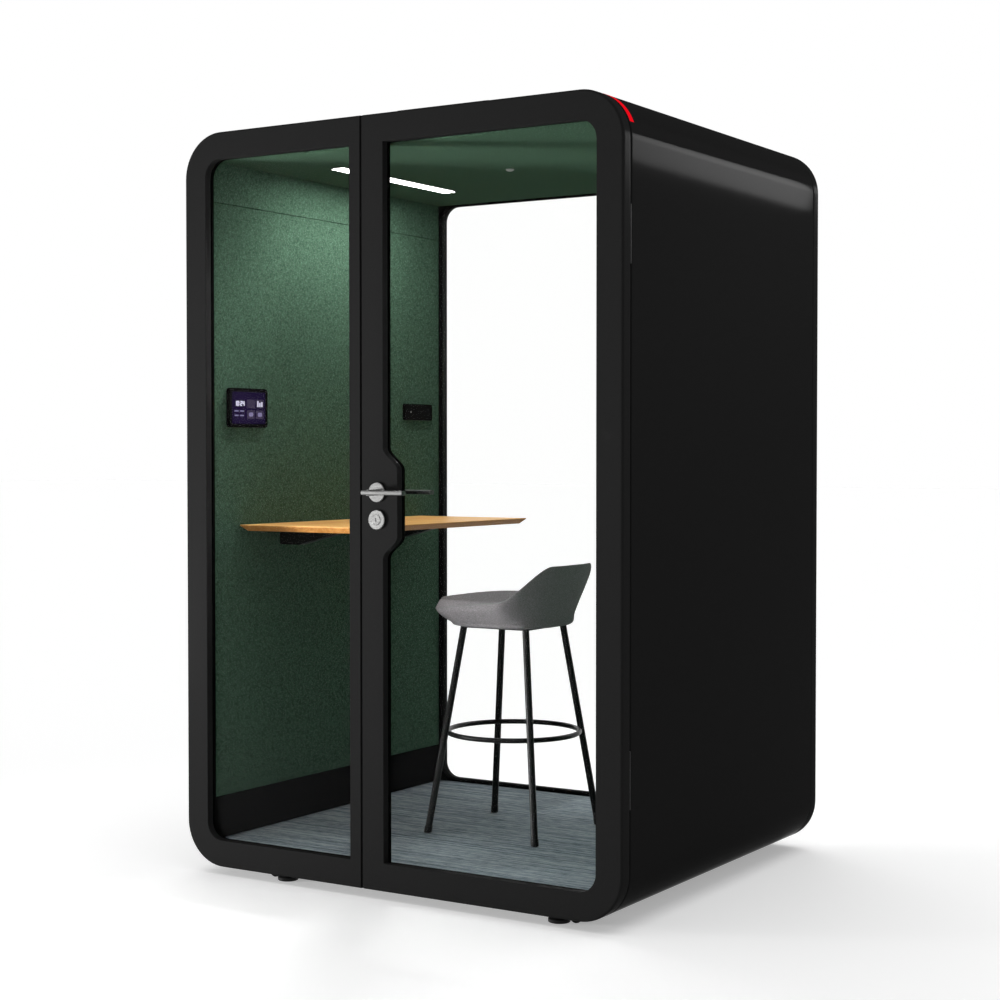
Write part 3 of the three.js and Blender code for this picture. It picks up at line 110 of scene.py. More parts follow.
SEAT_HULL = [(0, 0), (0.22, 0.2), (0.46, 0.43), (0.76, 0.71), (1, 0.97)]
SEAT_ROLL = [(0.15, 0, 0.2), (0.6, 0.2, 0.62), (1.1, 0.6, 0.86), (1.6, 0.92, 0.97)]
SEAT_PAD = [(0.5, 0.8), (0.15, 1)]
SEAT_MIDDLE = 0.02
PIPING_RADIUS = 0.0024

# Stool frame
FRAME_LOW, FRAME_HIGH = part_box("stool_frame")
LEG_RADIUS = 0.011
LEG_SPREAD_TOP = 0.116
LEG_SPREAD_FOOT = 0.200
LEG_CAP_RADIUS = 0.0125
LEG_CAP_HEIGHT = 0.022
LEG_CAP_ROUND = 0.003
LEG_CORNERS = [("front_left", -1, -1), ("front_right", 1, -1), ("rear_right", 1, 1), ("rear_left", -1, 1)]
RING_HEIGHT = 0.317
RING_RADIUS = 0.212
RING_TUBE = 0.008
SEAT_PLATE = 0.006
SEAT_PLATE_CORNER = 0.011
SEAT_PLATE_ROUND = 0.0015

# Display on the control screen: a clock, lines under it and four tiles, in shares of its width and height
SCREEN_LOW, SCREEN_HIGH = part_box("control_screen")
MARK_PROUD = 0.0002
CLOCK_TEXT = "10:24"
CLOCK_LEFT = 0.08
CLOCK_BASE = 0.56
DIGIT_WIDTH = 0.05
DIGIT_HEIGHT = 0.15
DIGIT_PITCH = 0.068
COLON_PITCH = 0.03
STROKE = 0.013
LINE_LEFTS = (0.07, 0.23)
LINE_BASES = (0.38, 0.24)
LINE_SIZE = (0.12, 0.035)
TILE_LEFTS = (0.45, 0.72)
TILE_BASES = (0.16, 0.50)
TILE_SIZE = (0.23, 0.27)
TILE_BARS = (0.19, 0.13, 0.16)
TILE_BAR_SIZE = 0.04
TILE_BAR_PITCH = 0.06
TILE_DOT = 0.13
SEGMENTS = {"0": "abcdef", "1": "bc", "2": "abged", "4": "fgbc"}

# Lamp dot of the socket plate, measured from the plate's low corner
SOCKET_LOW, SOCKET_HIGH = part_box("socket_plate")
SOCKET_DOT = (0.038, 0.029)
SOCKET_DOT_SIZE = 0.006

# Smoothness of the new surfaces
ARC_POINTS = 17
ROUND_POINTS = 6
EASE = 0.003
FLAT_EASE = 0.0004
BULGE_POINTS = 41
SEAT_POINTS = 160
SEAT_STEPS = 6
TUBE_POINTS = 24
RING_POINTS = 96
PIPING_POINTS = 10
CARPET_CELL = 0.03
SMOOTH_ANGLE = math.radians(32)

# Pocket for the lock in the meeting edges: its heights, its depths from the front and its first ring
POCKET_HEIGHTS = (CASE_LOW.z - POCKET_GAP, CASE_HIGH.z + POCKET_GAP)
POCKET_DEPTHS = (CASE_HIGH.y + POCKET_GAP - FRONT, CASE_LOW.y - POCKET_GAP / 2 - FRONT)
POCKET_ROW = ROUND_POINTS + 1


def new_mesh_object(name, points, faces, body, material):
    """Object at the origin whose mesh has these points and faces, with outward normals and smooth rounds."""
    mesh = bpy.data.meshes.new(name)
    mesh.from_pydata(np.asarray(points).reshape(-1, 3).tolist(), [], faces)
    work = bmesh.new()
    work.from_mesh(mesh)
    bmesh.ops.recalc_face_normals(work, faces=work.faces)
    work.to_mesh(mesh)
    work.free()
    mesh.shade_smooth()
    mesh.set_sharp_from_angle(angle=SMOOTH_ANGLE)
    mesh.materials.append(material)
    made = bpy.data.objects.new(name, mesh)
    bpy.context.scene.collection.objects.link(made)
    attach(made, body)
    return made


def grid_faces(rows, columns, close_rows, close_columns):
    """Quads of a grid numbered row * columns + column; a closed way joins its last line to its first."""
    row = np.arange(rows if close_rows else rows - 1)
    column = np.arange(columns if close_columns else columns - 1)
    row, column = np.meshgrid(row, column, indexing="ij")
    next_row = (row + 1) % rows
    next_column = (column + 1) % columns
    corners = [row * columns + column, row * columns + next_column,
               next_row * columns + next_column, next_row * columns + column]
    return np.stack(corners, axis=-1).reshape(-1, 4).tolist()


def capped_faces(rows, columns):
    """Faces of a stack of closed rings with a cap on its first and its last ring."""
    last = (rows - 1) * columns
    return grid_faces(rows, columns, False, True) + [list(range(columns)), list(range(last, last + columns))]


def joined(shells):
    """Points and faces of several closed shells, as those of one mesh."""
    starts = np.cumsum([0] + [len(points) for points, _ in shells])
    points = np.concatenate([points for points, _ in shells])
    faces = []
    for start, (_, group) in zip(starts, shells):
        faces += [[index + start for index in face] for face in group]
    return points, faces


def rounded_loop(left, right, bottom, top, radii, left_side=None, right_heights=()):
    """Closed outline in x and z: four quarter circles in the order bottom left, bottom right, top right and
    top left, each point being its centre + radius * (cos, sin), with one easing point on the straight at
    each end. left_side is an array of further points on the left side, from the top down, and right_heights
    gives further points on the right side, from the bottom up."""
    corners = [(left, bottom, 1, 1, 180), (right, bottom, -1, 1, 270),
               (right, top, -1, -1, 0), (left, top, 1, -1, 90)]
    parts = []
    for (x, z, toward_x, toward_z, start), radius in zip(corners, radii):
        angle = np.radians(np.linspace(start, start + 90, ARC_POINTS))
        quarter = np.column_stack([x + toward_x * radius + radius * np.cos(angle),
                                   z + toward_z * radius + radius * np.sin(angle)])
        into = np.array([math.sin(angle[0]), -math.cos(angle[0])]) * EASE
        out = np.array([-math.sin(angle[-1]), math.cos(angle[-1])]) * EASE
        parts += [quarter[:1] + into, quarter, quarter[-1:] + out]
    if left_side is not None:
        parts.append(left_side)
    if right_heights:
        parts.insert(len(parts) // 2, np.array([(right, height) for height in right_heights]))
    return np.concatenate(parts)


def quarter_steps(size):
    """Insets and depths of a quarter round from a flat face to a side: inset 1 - sin, depth 1 - cos."""
    angle = np.linspace(0, math.pi / 2, ROUND_POINTS)
    return list(zip(size * (1 - np.sin(angle)), size * (1 - np.cos(angle))))


def sink_pocket(points, faces, edge, floor):
    """Points and faces of a frame with a box sunk into its edge at x = edge, as deep as x = floor, where the
    lock stands: the faces over the mouth go, and the mouth's outline is carried in to the floor."""
    loop = points.shape[1]
    near = np.abs(points[POCKET_ROW, :, 0] - edge) < POCKET_GAP / 3
    height = points[POCKET_ROW, :, 2]
    inside = (height > CASE_LOW.z - 2 * POCKET_GAP) & (height < CASE_HIGH.z + 2 * POCKET_GAP)
    column = np.flatnonzero(near & inside)
    count = len(column)
    sunk = points[POCKET_ROW:POCKET_ROW + 2, column].copy()
    sunk[..., 0] = floor
    mouth = set((POCKET_ROW * loop + column[:-1]).tolist())
    kept = [face for number, face in enumerate(faces) if number not in mouth]
    start = points.shape[0] * loop
    rim = np.concatenate([POCKET_ROW * loop + column, (POCKET_ROW + 1) * loop + column[::-1]])
    base = start + np.concatenate([np.arange(count), np.arange(2 * count - 1, count - 1, -1)])
    walls = np.column_stack([rim, np.roll(rim, -1), np.roll(base, -1), base]).tolist()
    bottom = (start + np.array(grid_faces(2, count, False, False))).tolist()
    return np.concatenate([points.reshape(-1, 3), sunk.reshape(-1, 3)]), kept + walls + bottom


def ring_piece(name, rings, body, material, pocket=None):
    """Closed frame: a list of (outline, y) rings with equal counts of points, joined into one another.
    pocket is the edge and the floor of a pocket for the lock."""
    points = np.array([np.insert(loop, 1, y, axis=1) for loop, y in rings])
    faces = grid_faces(len(rings), points.shape[1], True, True)
    if pocket:
        points, faces = sink_pocket(points, faces, *pocket)
    made = new_mesh_object(name, points, faces, body, material)
    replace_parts(made, name.removesuffix("_smooth"))
    return made


def frame_rings(outer, inner, front, back, sign, setback, step=LIP_DEPTH, pocket=()):
    """Rings of a frame from its back edge over its side and visible face to the glass rebate.
    outer(inset, depth) and inner(grow) give the outlines; depth runs from the visible face, and sign turns
    it into +y or -y. step is the depth at which the outline changes, and pocket holds the depths of further
    rings on the side."""
    depth = abs(back - front)
    rings = [(outer(inset, depth), depth - into) for inset, into in quarter_steps(SEAM_ROUND)]
    rings.insert(0, (outer(SEAM_ROUND + FLAT_EASE, depth), depth))
    rings += [(outer(0, depth), into) for into in (*pocket, step + STEP_EASE)]
    rings.append((outer(0, 0), step))
    rings += [(outer(inset, 0), into) for inset, into in reversed(quarter_steps(FRONT_ROUND))]
    rings.append((outer(FRONT_ROUND + FLAT_EASE, 0), 0))
    rings.append((inner(INNER_ROUND + FLAT_EASE), 0))
    rings += [(inner(inset), into) for inset, into in quarter_steps(INNER_ROUND)]
    rings += [(inner(0), INNER_ROUND + FLAT_EASE), (inner(0), setback)]
    rings += [(inner(REBATE), setback), (inner(REBATE), depth)]
    return [(loop, front + sign * into) for loop, into in rings]


def bulge_side(left, reach):
    """Points down the left side of the door's opening: x = left + reach * s, where s is a raised cosine that
    is 0 outside the bulge and 1 along its straight middle."""
    half = BULGE_STRAIGHT / 2
    height = np.linspace(half + BULGE_RUN, -half - BULGE_RUN, BULGE_POINTS)
    for edge in POCKET_HEIGHTS:
        height[np.abs(BULGE_MIDDLE + height - edge).argmin()] = edge - BULGE_MIDDLE
    share = np.clip((half + BULGE_RUN - np.abs(height)) / BULGE_RUN, 0, 1)
    return np.column_stack([left + reach * (1 - np.cos(math.pi * share)) / 2, BULGE_MIDDLE + height])


def door_outer(inset, depth):
    """Outline of the door leaf: round on the hinge side, and stepped back behind the lip by its width."""
    left = DOOR_EDGE + min(inset, MEETING_ROUND) + (LIP_WIDTH if depth else 0)
    radius = CORNER - inset
    return rounded_loop(left, SIDE - inset, BOTTOM + inset, TOP - inset,
                        [SHARP_CORNER, radius, radius, SHARP_CORNER], bulge_side(left, 0))


def door_inner(grow):
    """Outline of the door's opening, grown by a distance."""
    radius = OPENING_CORNER + grow
    left = DOOR_LEFT - grow
    return rounded_loop(left, OPENING_SIDE + grow, OPENING_BOTTOM - grow, OPENING_TOP + grow,
                        [SHARP_CORNER, radius, radius, SHARP_CORNER], bulge_side(left, BULGE_REACH))


def sidelight_outer(inset, depth):
    """Outline of the fixed front frame: round on its outer side, with a tongue behind the door's lip."""
    radius = CORNER - inset
    right = (SIDELIGHT_EDGE if depth else DOOR_EDGE - MEETING_GAP) - min(inset, MEETING_ROUND)
    return rounded_loop(-SIDE + inset, right, BOTTOM + inset, TOP - inset,
                        [radius, SHARP_CORNER, SHARP_CORNER, radius], right_heights=POCKET_HEIGHTS)


def sidelight_inner(grow):
    """Outline of the sidelight's opening, grown by a distance."""
    radius = OPENING_CORNER + grow
    return rounded_loop(-OPENING_SIDE - grow, SIDELIGHT_RIGHT + grow, OPENING_BOTTOM - grow,
                        OPENING_TOP + grow, [radius, SHARP_CORNER, SHARP_CORNER, radius],
                        right_heights=POCKET_HEIGHTS)


def rear_outer(inset, depth):
    """Outline of the back frame."""
    return rounded_loop(-SIDE + inset, SIDE - inset, BOTTOM + inset, TOP - inset, [CORNER - inset] * 4)


def rear_inner(grow):
    """Outline of the back opening, grown by a distance."""
    return rounded_loop(-OPENING_SIDE - grow, OPENING_SIDE + grow, OPENING_BOTTOM - grow, OPENING_TOP + grow,
                        [OPENING_CORNER + grow] * 4)


def shell_piece(name, mirror, material):
    """Wrapped side panel: a closed section carried along a path. The path runs from the roof seam over two
    quarter circles to the floor seam, and each point of the section moves in from it along the normal."""
    split = SHELL_LOW.x
    upper = np.radians(np.linspace(90, 0, ARC_POINTS))
    lower = np.radians(np.linspace(0, -90, ARC_POINTS))
    middle = SIDE - CORNER
    normals = np.concatenate([[math.pi / 2] * 2, upper, [0, 0], lower, [-math.pi / 2] * 2])
    outward = np.column_stack([np.cos(normals), np.sin(normals)])
    quarter = np.column_stack([np.cos(upper), np.sin(upper)]) * CORNER
    quarter_low = np.column_stack([np.cos(lower), np.sin(lower)]) * CORNER
    base = np.concatenate([
        [[split, TOP], [middle - EASE, TOP]],
        quarter + [middle, TOP - CORNER],
        [[SIDE, TOP - CORNER - EASE], [SIDE, BOTTOM + CORNER + EASE]],
        quarter_low + [middle, BOTTOM + CORNER],
        [[middle - EASE, BOTTOM], [split, BOTTOM]],
    ])
    front = SHELL_LOW.y + LEAF_BACK_TRIM
    back = SHELL_HIGH.y
    front_edge = [(inset, front + into) for inset, into in quarter_steps(SEAM_ROUND)]
    back_edge = [(inset, back - into) for inset, into in reversed(quarter_steps(SEAM_ROUND))]
    section = [(SHELL_THICKNESS, front), (SEAM_ROUND + FLAT_EASE, front), *front_edge,
               (0, front + SEAM_ROUND + FLAT_EASE), (0, back - SEAM_ROUND - FLAT_EASE), *back_edge,
               (SEAM_ROUND + FLAT_EASE, back), (SHELL_THICKNESS, back)]
    inset = np.array([s[0] for s in section])
    depth = np.array([s[1] for s in section])
    flat = base[:, None, :] - outward[:, None, :] * inset[None, :, None]
    depths = np.broadcast_to(depth, flat.shape[:2])
    points = np.stack([mirror * flat[..., 0], depths, flat[..., 1]], axis=-1)
    faces = capped_faces(*points.shape[:2])
    made = new_mesh_object(name + "_smooth", points, faces, "pod", material)
    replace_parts(made, name)
    return made


def turn_share(angle, limits):
    """Smooth share, from 0 to 1, of a turn away from angle 0 between two limits in degrees."""
    degrees = np.degrees(np.abs((angle + math.pi) % (2 * math.pi) - math.pi))
    share = np.clip((degrees - limits[0]) / (limits[1] - limits[0]), 0, 1)
    return share * share * (3 - 2 * share)


def square_reach(half, angle):
    """Distance to a rounded square: half / (|cos|^k + |sin|^k)^(1/k)."""
    total = np.abs(np.cos(angle)) ** SEAT_SQUARENESS + np.abs(np.sin(angle)) ** SEAT_SQUARENESS
    return half / total ** (1 / SEAT_SQUARENESS)


def rim_height(angle):
    """Height of the seat's rim: high behind, falling along the sides and low in front."""
    side = SEAT_RIM_SIDE + (SEAT_RIM_FRONT - SEAT_RIM_SIDE) * turn_share(angle, SEAT_SIDE_DROP)
    return side + (SEAT_RIM_BACK - SEAT_RIM_SIDE) * (1 - turn_share(angle, SEAT_BACK_DROP))


def rim_thickness(angle):
    """Thickness of the rim: thin in front, and growing with the height of the back over the pad."""
    over = np.maximum(0, rim_height(angle) - SEAT_PAD_HEIGHT)
    return np.minimum(SEAT_EDGE_THICKNESS + over / 2, SEAT_BACK_THICKNESS)


def hull_reach(angle, out):
    """Distance to the outside of the seat at a share of the way out from its base to its rim."""
    low = square_reach(SEAT_BASE_HALF, angle)
    round_share = SEAT_HULL_ROUND * turn_share(angle, SEAT_HULL_TURN)
    share = out + (math.sin(math.pi / 2 * out) - out) * round_share
    return low + (square_reach(SEAT_HALF, angle) - low) * share


def around_stool(angle, reach, height):
    """Points at a distance and height from the middle of the stool, in the directions of the angles."""
    return np.column_stack([STOOL_X + reach * np.cos(angle), STOOL_Y + reach * np.sin(angle),
                            np.broadcast_to(height, angle.shape)])


def smooth_between(rings, steps):
    """Catmull-Rom curves through the matching points of rings a, b, c and d, from b to c:
    b + (c - a) t / 2 + (2a - 5b + 4c - d) t^2 / 2 + (3b - a - 3c + d) t^3 / 2."""
    padded = np.concatenate([rings[:1], rings, rings[-1:]])
    a, b, c, d = padded[:-3], padded[1:-2], padded[2:-1], padded[3:]
    t = np.linspace(0, 1, steps, endpoint=False)[None, :, None, None]
    a, b, c, d = (part[:, None] for part in (a, b, c, d))
    cubic = b + ((c - a) * t + (2 * a - 5 * b + 4 * c - d) * t ** 2 + (3 * b - a - 3 * c + d) * t ** 3) / 2
    return np.concatenate([cubic.reshape(-1, *rings.shape[1:]), rings[-1:]])


def seat_cover(material):
    """Upholstered bucket seat: rings from the middle of its underside over the rim to the middle of its pad,
    each at a reach and a height for every angle, with smooth curves between them."""
    angle = np.linspace(0, 2 * math.pi, SEAT_POINTS, endpoint=False)
    height = rim_height(angle)
    rim = hull_reach(angle, 1)
    base = hull_reach(angle, 0)
    sections = [(base * SEAT_MIDDLE, 0), (base / 2, 0)]
    sections += [(hull_reach(angle, out), height * up) for out, up in SEAT_HULL]
    for into, down, up in SEAT_ROLL:
        share = np.where(height > SEAT_PAD_HEIGHT, down, up)
        sections.append((rim - rim_thickness(angle) * into, height + (SEAT_PAD_HEIGHT - height) * share))
    sections += [(rim * out, SEAT_PAD_HEIGHT + SEAT_PAD_CROWN * crown) for out, crown in SEAT_PAD]
    sections.append((rim * SEAT_MIDDLE, SEAT_PAD_HEIGHT + SEAT_PAD_CROWN))
    rings = np.array([around_stool(angle, reach, SEAT_LOW.z + level) for reach, level in sections])
    points = smooth_between(rings, SEAT_STEPS)
    points[..., 2] = np.maximum(points[..., 2], SEAT_LOW.z)
    faces = capped_faces(*points.shape[:2])
    made = new_mesh_object("stool_seat_cover", points, faces, "stool", material)
    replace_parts(made, "stool_seat")


def seat_piping(material):
    """Piping sewn along the rim: a tube whose circles lie in the plane of outward and upward."""
    angle = np.linspace(0, 2 * math.pi, SEAT_POINTS, endpoint=False)
    turn = np.linspace(0, 2 * math.pi, PIPING_POINTS, endpoint=False)
    reach = hull_reach(angle, 1) - rim_thickness(angle) * SEAT_ROLL[0][0] / 2
    level = SEAT_LOW.z + rim_height(angle) * (1 + SEAT_HULL[-1][1]) / 2
    rings = [around_stool(angle, reach + PIPING_RADIUS * math.cos(t), level + PIPING_RADIUS * math.sin(t))
             for t in turn]
    faces = grid_faces(PIPING_POINTS, SEAT_POINTS, True, True)
    new_mesh_object("stool_seat_piping", np.array(rings), faces, "stool", material)


def stool_leg(name, toward_x, toward_y, material):
    """Leg: level circles round an axis that leans with the height, with a rounded cap at the foot."""
    angle = np.linspace(0, 2 * math.pi, TUBE_POINTS, endpoint=False)
    height = FRAME_HIGH.z - FRAME_LOW.z - SEAT_PLATE
    sections = [(LEG_CAP_RADIUS - inset, into) for inset, into in quarter_steps(LEG_CAP_ROUND)]
    sections += [(LEG_CAP_RADIUS, LEG_CAP_HEIGHT), (LEG_RADIUS, LEG_CAP_HEIGHT + FLAT_EASE)]
    sections += [(LEG_RADIUS, LEG_CAP_HEIGHT + EASE), (LEG_RADIUS, height)]
    rings = []
    for radius, level in sections:
        lean = LEG_SPREAD_FOOT + (LEG_SPREAD_TOP - LEG_SPREAD_FOOT) * level / height
        ring = around_stool(angle, radius, FRAME_LOW.z + level)
        rings.append(ring + [toward_x * lean, toward_y * lean, 0])
    points = np.array(rings)
    return new_mesh_object(name, points, capped_faces(*points.shape[:2]), "stool", material)


def foot_ring(material):
    """Foot ring: a torus round the middle of the stool."""
    angle = np.linspace(0, 2 * math.pi, RING_POINTS, endpoint=False)
    turn = np.linspace(0, 2 * math.pi, TUBE_POINTS, endpoint=False)
    middle = FRAME_LOW.z + RING_HEIGHT
    rings = [around_stool(angle, RING_RADIUS + RING_TUBE * math.cos(t), middle + RING_TUBE * math.sin(t))
             for t in turn]
    faces = grid_faces(TUBE_POINTS, RING_POINTS, True, True)
    new_mesh_object("stool_foot_ring", np.array(rings), faces, "stool", material)


def seat_plate(material):
    """Plate under the seat: rounded squares stacked in z, with eased edges."""
    half = LEG_SPREAD_TOP + LEG_RADIUS

    def square(inset, level):
        corner = SEAT_PLATE_CORNER - inset
        loop = rounded_loop(inset - half, half - inset, inset - half, half - inset, [corner] * 4)
        return np.column_stack([loop[:, 0] + STOOL_X, loop[:, 1] + STOOL_Y, np.full(len(loop), level)])

    edge = quarter_steps(SEAT_PLATE_ROUND)
    low = FRAME_HIGH.z - SEAT_PLATE
    rings = [square(inset, low + into) for inset, into in edge]
    rings += [square(inset, FRAME_HIGH.z - into) for inset, into in reversed(edge)]
    points = np.array(rings)
    faces = capped_faces(*points.shape[:2])
    return new_mesh_object("stool_seat_plate", points, faces, "stool", material)


def laid_carpet(material):
    """Carpet: one flat grid, given its thickness by Solidify."""
    low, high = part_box("carpet")
    across = np.linspace(low.x, high.x, round((high.x - low.x) / CARPET_CELL))
    along = np.linspace(low.y, high.y, round((high.y - low.y) / CARPET_CELL))
    x, y = np.meshgrid(across, along, indexing="ij")
    points = np.stack([x, y, np.full(x.shape, high.z)], axis=-1)
    faces = grid_faces(*x.shape, False, False)
    made = new_mesh_object("laid_carpet", points, faces, "pod", material)
    pile = made.modifiers.new("pile", "SOLIDIFY")
    pile.thickness = high.z - low.z
    pile.offset = -1 if made.data.polygons[0].normal.z > 0 else 1
    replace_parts(made, "carpet")


def screen_mark(left, base, width, height, corner, proud):
    """Rounded tile on the screen's face, at a place and of a size in shares of the screen's width and
    height, standing proud of the face by a height."""
    wide = SCREEN_HIGH.y - SCREEN_LOW.y
    tall = SCREEN_HIGH.z - SCREEN_LOW.z
    loop = rounded_loop(SCREEN_LOW.y + left * wide, SCREEN_LOW.y + (left + width) * wide,
                        SCREEN_LOW.z + base * tall, SCREEN_LOW.z + (base + height) * tall, [corner] * 4)
    levels = [SCREEN_HIGH.x - MARK_PROUD, SCREEN_HIGH.x + proud]
    points = np.array([np.insert(loop, 0, level, axis=1) for level in levels])
    return points.reshape(-1, 3), capped_faces(*points.shape[:2])


def digit_strokes(digit, left):
    """Strokes of a digit made of seven bars, a to g."""
    right = left + DIGIT_WIDTH - STROKE
    half = DIGIT_HEIGHT / 2
    bar = 2 * STROKE
    upright = {"b": (right, half), "c": (right, 0), "e": (left, 0), "f": (left, half)}
    level = {"a": DIGIT_HEIGHT - bar, "d": 0, "g": half - bar / 2}
    strokes = []
    for name in SEGMENTS[digit]:
        if name in upright:
            x, z = upright[name]
            strokes.append((x, CLOCK_BASE + z, STROKE, half))
        else:
            strokes.append((left, CLOCK_BASE + level[name], DIGIT_WIDTH, bar))
    return strokes


def screen_display(bright, soft, dim):
    """Clock and lines of the control screen, and four tiles, one with bars and two with a dot."""
    strokes = []
    left = CLOCK_LEFT
    for sign in CLOCK_TEXT:
        if sign == ":":
            for share in (0.2, 0.65):
                strokes.append((left, CLOCK_BASE + DIGIT_HEIGHT * share, STROKE, 2 * STROKE))
            left += COLON_PITCH
        else:
            strokes += digit_strokes(sign, left)
            left += DIGIT_PITCH
    lines = [(x, z, *LINE_SIZE) for x in LINE_LEFTS for z in LINE_BASES]
    tiles = [(x, z, *TILE_SIZE) for x in TILE_LEFTS for z in TILE_BASES]
    bar_left = TILE_LEFTS[1] + (TILE_SIZE[0] - 2 * TILE_BAR_PITCH - TILE_BAR_SIZE) / 2
    bars = []
    for place, height in enumerate(TILE_BARS):
        left = bar_left + place * TILE_BAR_PITCH
        bars.append((left, TILE_BASES[1] + TILE_BAR_SIZE, TILE_BAR_SIZE, height))
    dots = []
    for left in TILE_LEFTS:
        dot_left = left + (TILE_SIZE[0] - TILE_DOT) / 2
        dots.append((dot_left, TILE_BASES[0] + (TILE_SIZE[1] - TILE_DOT) / 2, TILE_DOT, TILE_DOT))
    dot_round = TILE_DOT * (SCREEN_HIGH.z - SCREEN_LOW.z) * 0.45
    groups = [("screen_clock", strokes, bright, 0.0003, MARK_PROUD),
              ("screen_lines", lines, soft, 0.001, MARK_PROUD),
              ("screen_tiles", tiles, dim, 0.002, MARK_PROUD),
              ("screen_bars", bars, bright, 0.0003, 2 * MARK_PROUD),
              ("screen_dots", dots, soft, dot_round, 2 * MARK_PROUD)]
    for name, marks, material, corner, proud in groups:
        points, faces = joined([screen_mark(*mark, corner, proud) for mark in marks])
        new_mesh_object(name, points, faces, "pod", material)


def socket_dot(material):
    """Lamp dot of the socket plate: a low dome of circles."""
    turn = np.linspace(0, 2 * math.pi, TUBE_POINTS, endpoint=False)
    low = np.array([SOCKET_LOW.y + SOCKET_DOT[0], SOCKET_LOW.z + SOCKET_DOT[1]])
    rings = []
    for inset, into in quarter_steps(SOCKET_DOT_SIZE / 4):
        radius = SOCKET_DOT_SIZE / 2 - inset
        loop = low + radius * np.column_stack([np.cos(turn), np.sin(turn)])
        rings.append(np.insert(loop, 0, SOCKET_HIGH.x - into, axis=1))
    points = np.array(rings)
    new_mesh_object("socket_dot", points, capped_faces(*points.shape[:2]), "pod", material)


# Node trees
def add_node(tree, kind, **settings):
    """Node of a kind, with its properties and named inputs set."""
    made = tree.nodes.new(kind)
    for name, value in settings.items():
        label = name.replace("_", " ").title().replace("Ior", "IOR")
        if label in made.inputs:
            made.inputs[label].default_value = value
        else:
            setattr(made, name, value)
    return made


def new_group(name, inputs, outputs):
    """Shader node group with inputs as (name, type, default) and outputs as (name, type)."""
    tree = bpy.data.node_groups.new(name, "ShaderNodeTree")
    for label, kind, default in inputs:
        socket = tree.interface.new_socket(label, in_out="INPUT", socket_type=kind)
        socket.default_value = default
    for label, kind in outputs:
        tree.interface.new_socket(label, in_out="OUTPUT", socket_type=kind)
    return tree, tree.nodes.new("NodeGroupInput"), tree.nodes.new("NodeGroupOutput")


def make_fibre_group():
    """Noise drawn out along the axes by its Stretch, in cycles per metre: fibres, grain or specks."""
    tree, given, result = new_group("fibre_noise", [("Stretch", "NodeSocketVector", (1, 1, 1))],
                                    [("Value", "NodeSocketFloat")])
    place = tree.nodes.new("ShaderNodeTexCoord")
    scaled = add_node(tree, "ShaderNodeVectorMath", operation="MULTIPLY")
    noise = add_node(tree, "ShaderNodeTexNoise", scale=1.0, detail=3.0, roughness=0.6)
    tree.links.new(place.outputs["Object"], scaled.inputs[0])
    tree.links.new(given.outputs["Stretch"], scaled.inputs[1])
    tree.links.new(scaled.outputs["Vector"], noise.inputs["Vector"])
    tree.links.new(noise.outputs["Fac"], result.inputs["Value"])
    return tree


def make_weave_group(fibre):
    """Woven cloth: a mask from fibres along two axes, one drawn out along each, and its mottled mean."""
    tree, given, result = new_group(
        "woven_cloth", [("First", "NodeSocketVector", (1, 1, 1)), ("Second", "NodeSocketVector", (1, 1, 1))],
        [("Mask", "NodeSocketFloat")])
    values = []
    for label in ("First", "Second"):
        threads = add_node(tree, "ShaderNodeGroup", node_tree=fibre)
        tree.links.new(given.outputs[label], threads.inputs["Stretch"])
        values.append(threads.outputs["Value"])
    mean = add_node(tree, "ShaderNodeMath", operation="ADD")
    tree.links.new(values[0], mean.inputs[0])
    tree.links.new(values[1], mean.inputs[1])
    spread = add_node(tree, "ShaderNodeMapRange")
    spread.inputs["From Min"].default_value = 0.7
    spread.inputs["From Max"].default_value = 1.3
    tree.links.new(mean.outputs[0], spread.inputs["Value"])
    tree.links.new(spread.outputs[0], result.inputs["Mask"])
    return tree


FIBRE = make_fibre_group()
WEAVE = make_weave_group(FIBRE)


def new_material(name, **settings):
    """Material with a Principled BSDF and its named inputs set."""
    material = bpy.data.materials.new(name)
    material.use_nodes = True
    tree = material.node_tree
    surface = tree.nodes["Principled BSDF"]
    for key, value in settings.items():
        label = key.replace("_", " ").title().replace("Ior", "IOR")
        surface.inputs[label].default_value = value
    return material, tree, surface


def fibre_value(tree, stretch):
    """Output of a fibre group with its stretch set."""
    made = add_node(tree, "ShaderNodeGroup", node_tree=FIBRE)
    made.inputs["Stretch"].default_value = stretch
    return made.outputs["Value"]


def weave_mask(tree, first, second):
    """Output of a weave group with its two fibre directions set."""
    made = add_node(tree, "ShaderNodeGroup", node_tree=WEAVE)
    made.inputs["First"].default_value = first
    made.inputs["Second"].default_value = second
    return made.outputs["Mask"]


def tint(tree, value, low, high, target, low_at=0.3, high_at=0.7):
    """Colour ramp from low to high over a value, into an input."""
    ramp = tree.nodes.new("ShaderNodeValToRGB")
    ramp.color_ramp.elements[0].position = low_at
    ramp.color_ramp.elements[0].color = (*low, 1)
    ramp.color_ramp.elements[1].position = high_at
    ramp.color_ramp.elements[1].color = (*high, 1)
    tree.links.new(value, ramp.inputs["Fac"])
    tree.links.new(ramp.outputs["Color"], target)


def spread(tree, value, low, high, target):
    """Value mapped from 0.3..0.7 to low..high, into an input."""
    made = add_node(tree, "ShaderNodeMapRange")
    made.inputs["From Min"].default_value = 0.3
    made.inputs["From Max"].default_value = 0.7
    made.inputs["To Min"].default_value = low
    made.inputs["To Max"].default_value = high
    tree.links.new(value, made.inputs["Value"])
    tree.links.new(made.outputs[0], target)


def bump(tree, surface, value, strength, distance):
    """Bump of a height value on a Principled BSDF."""
    made = add_node(tree, "ShaderNodeBump", strength=strength, distance=distance)
    tree.links.new(value, made.inputs["Height"])
    tree.links.new(made.outputs["Normal"], surface.inputs["Normal"])


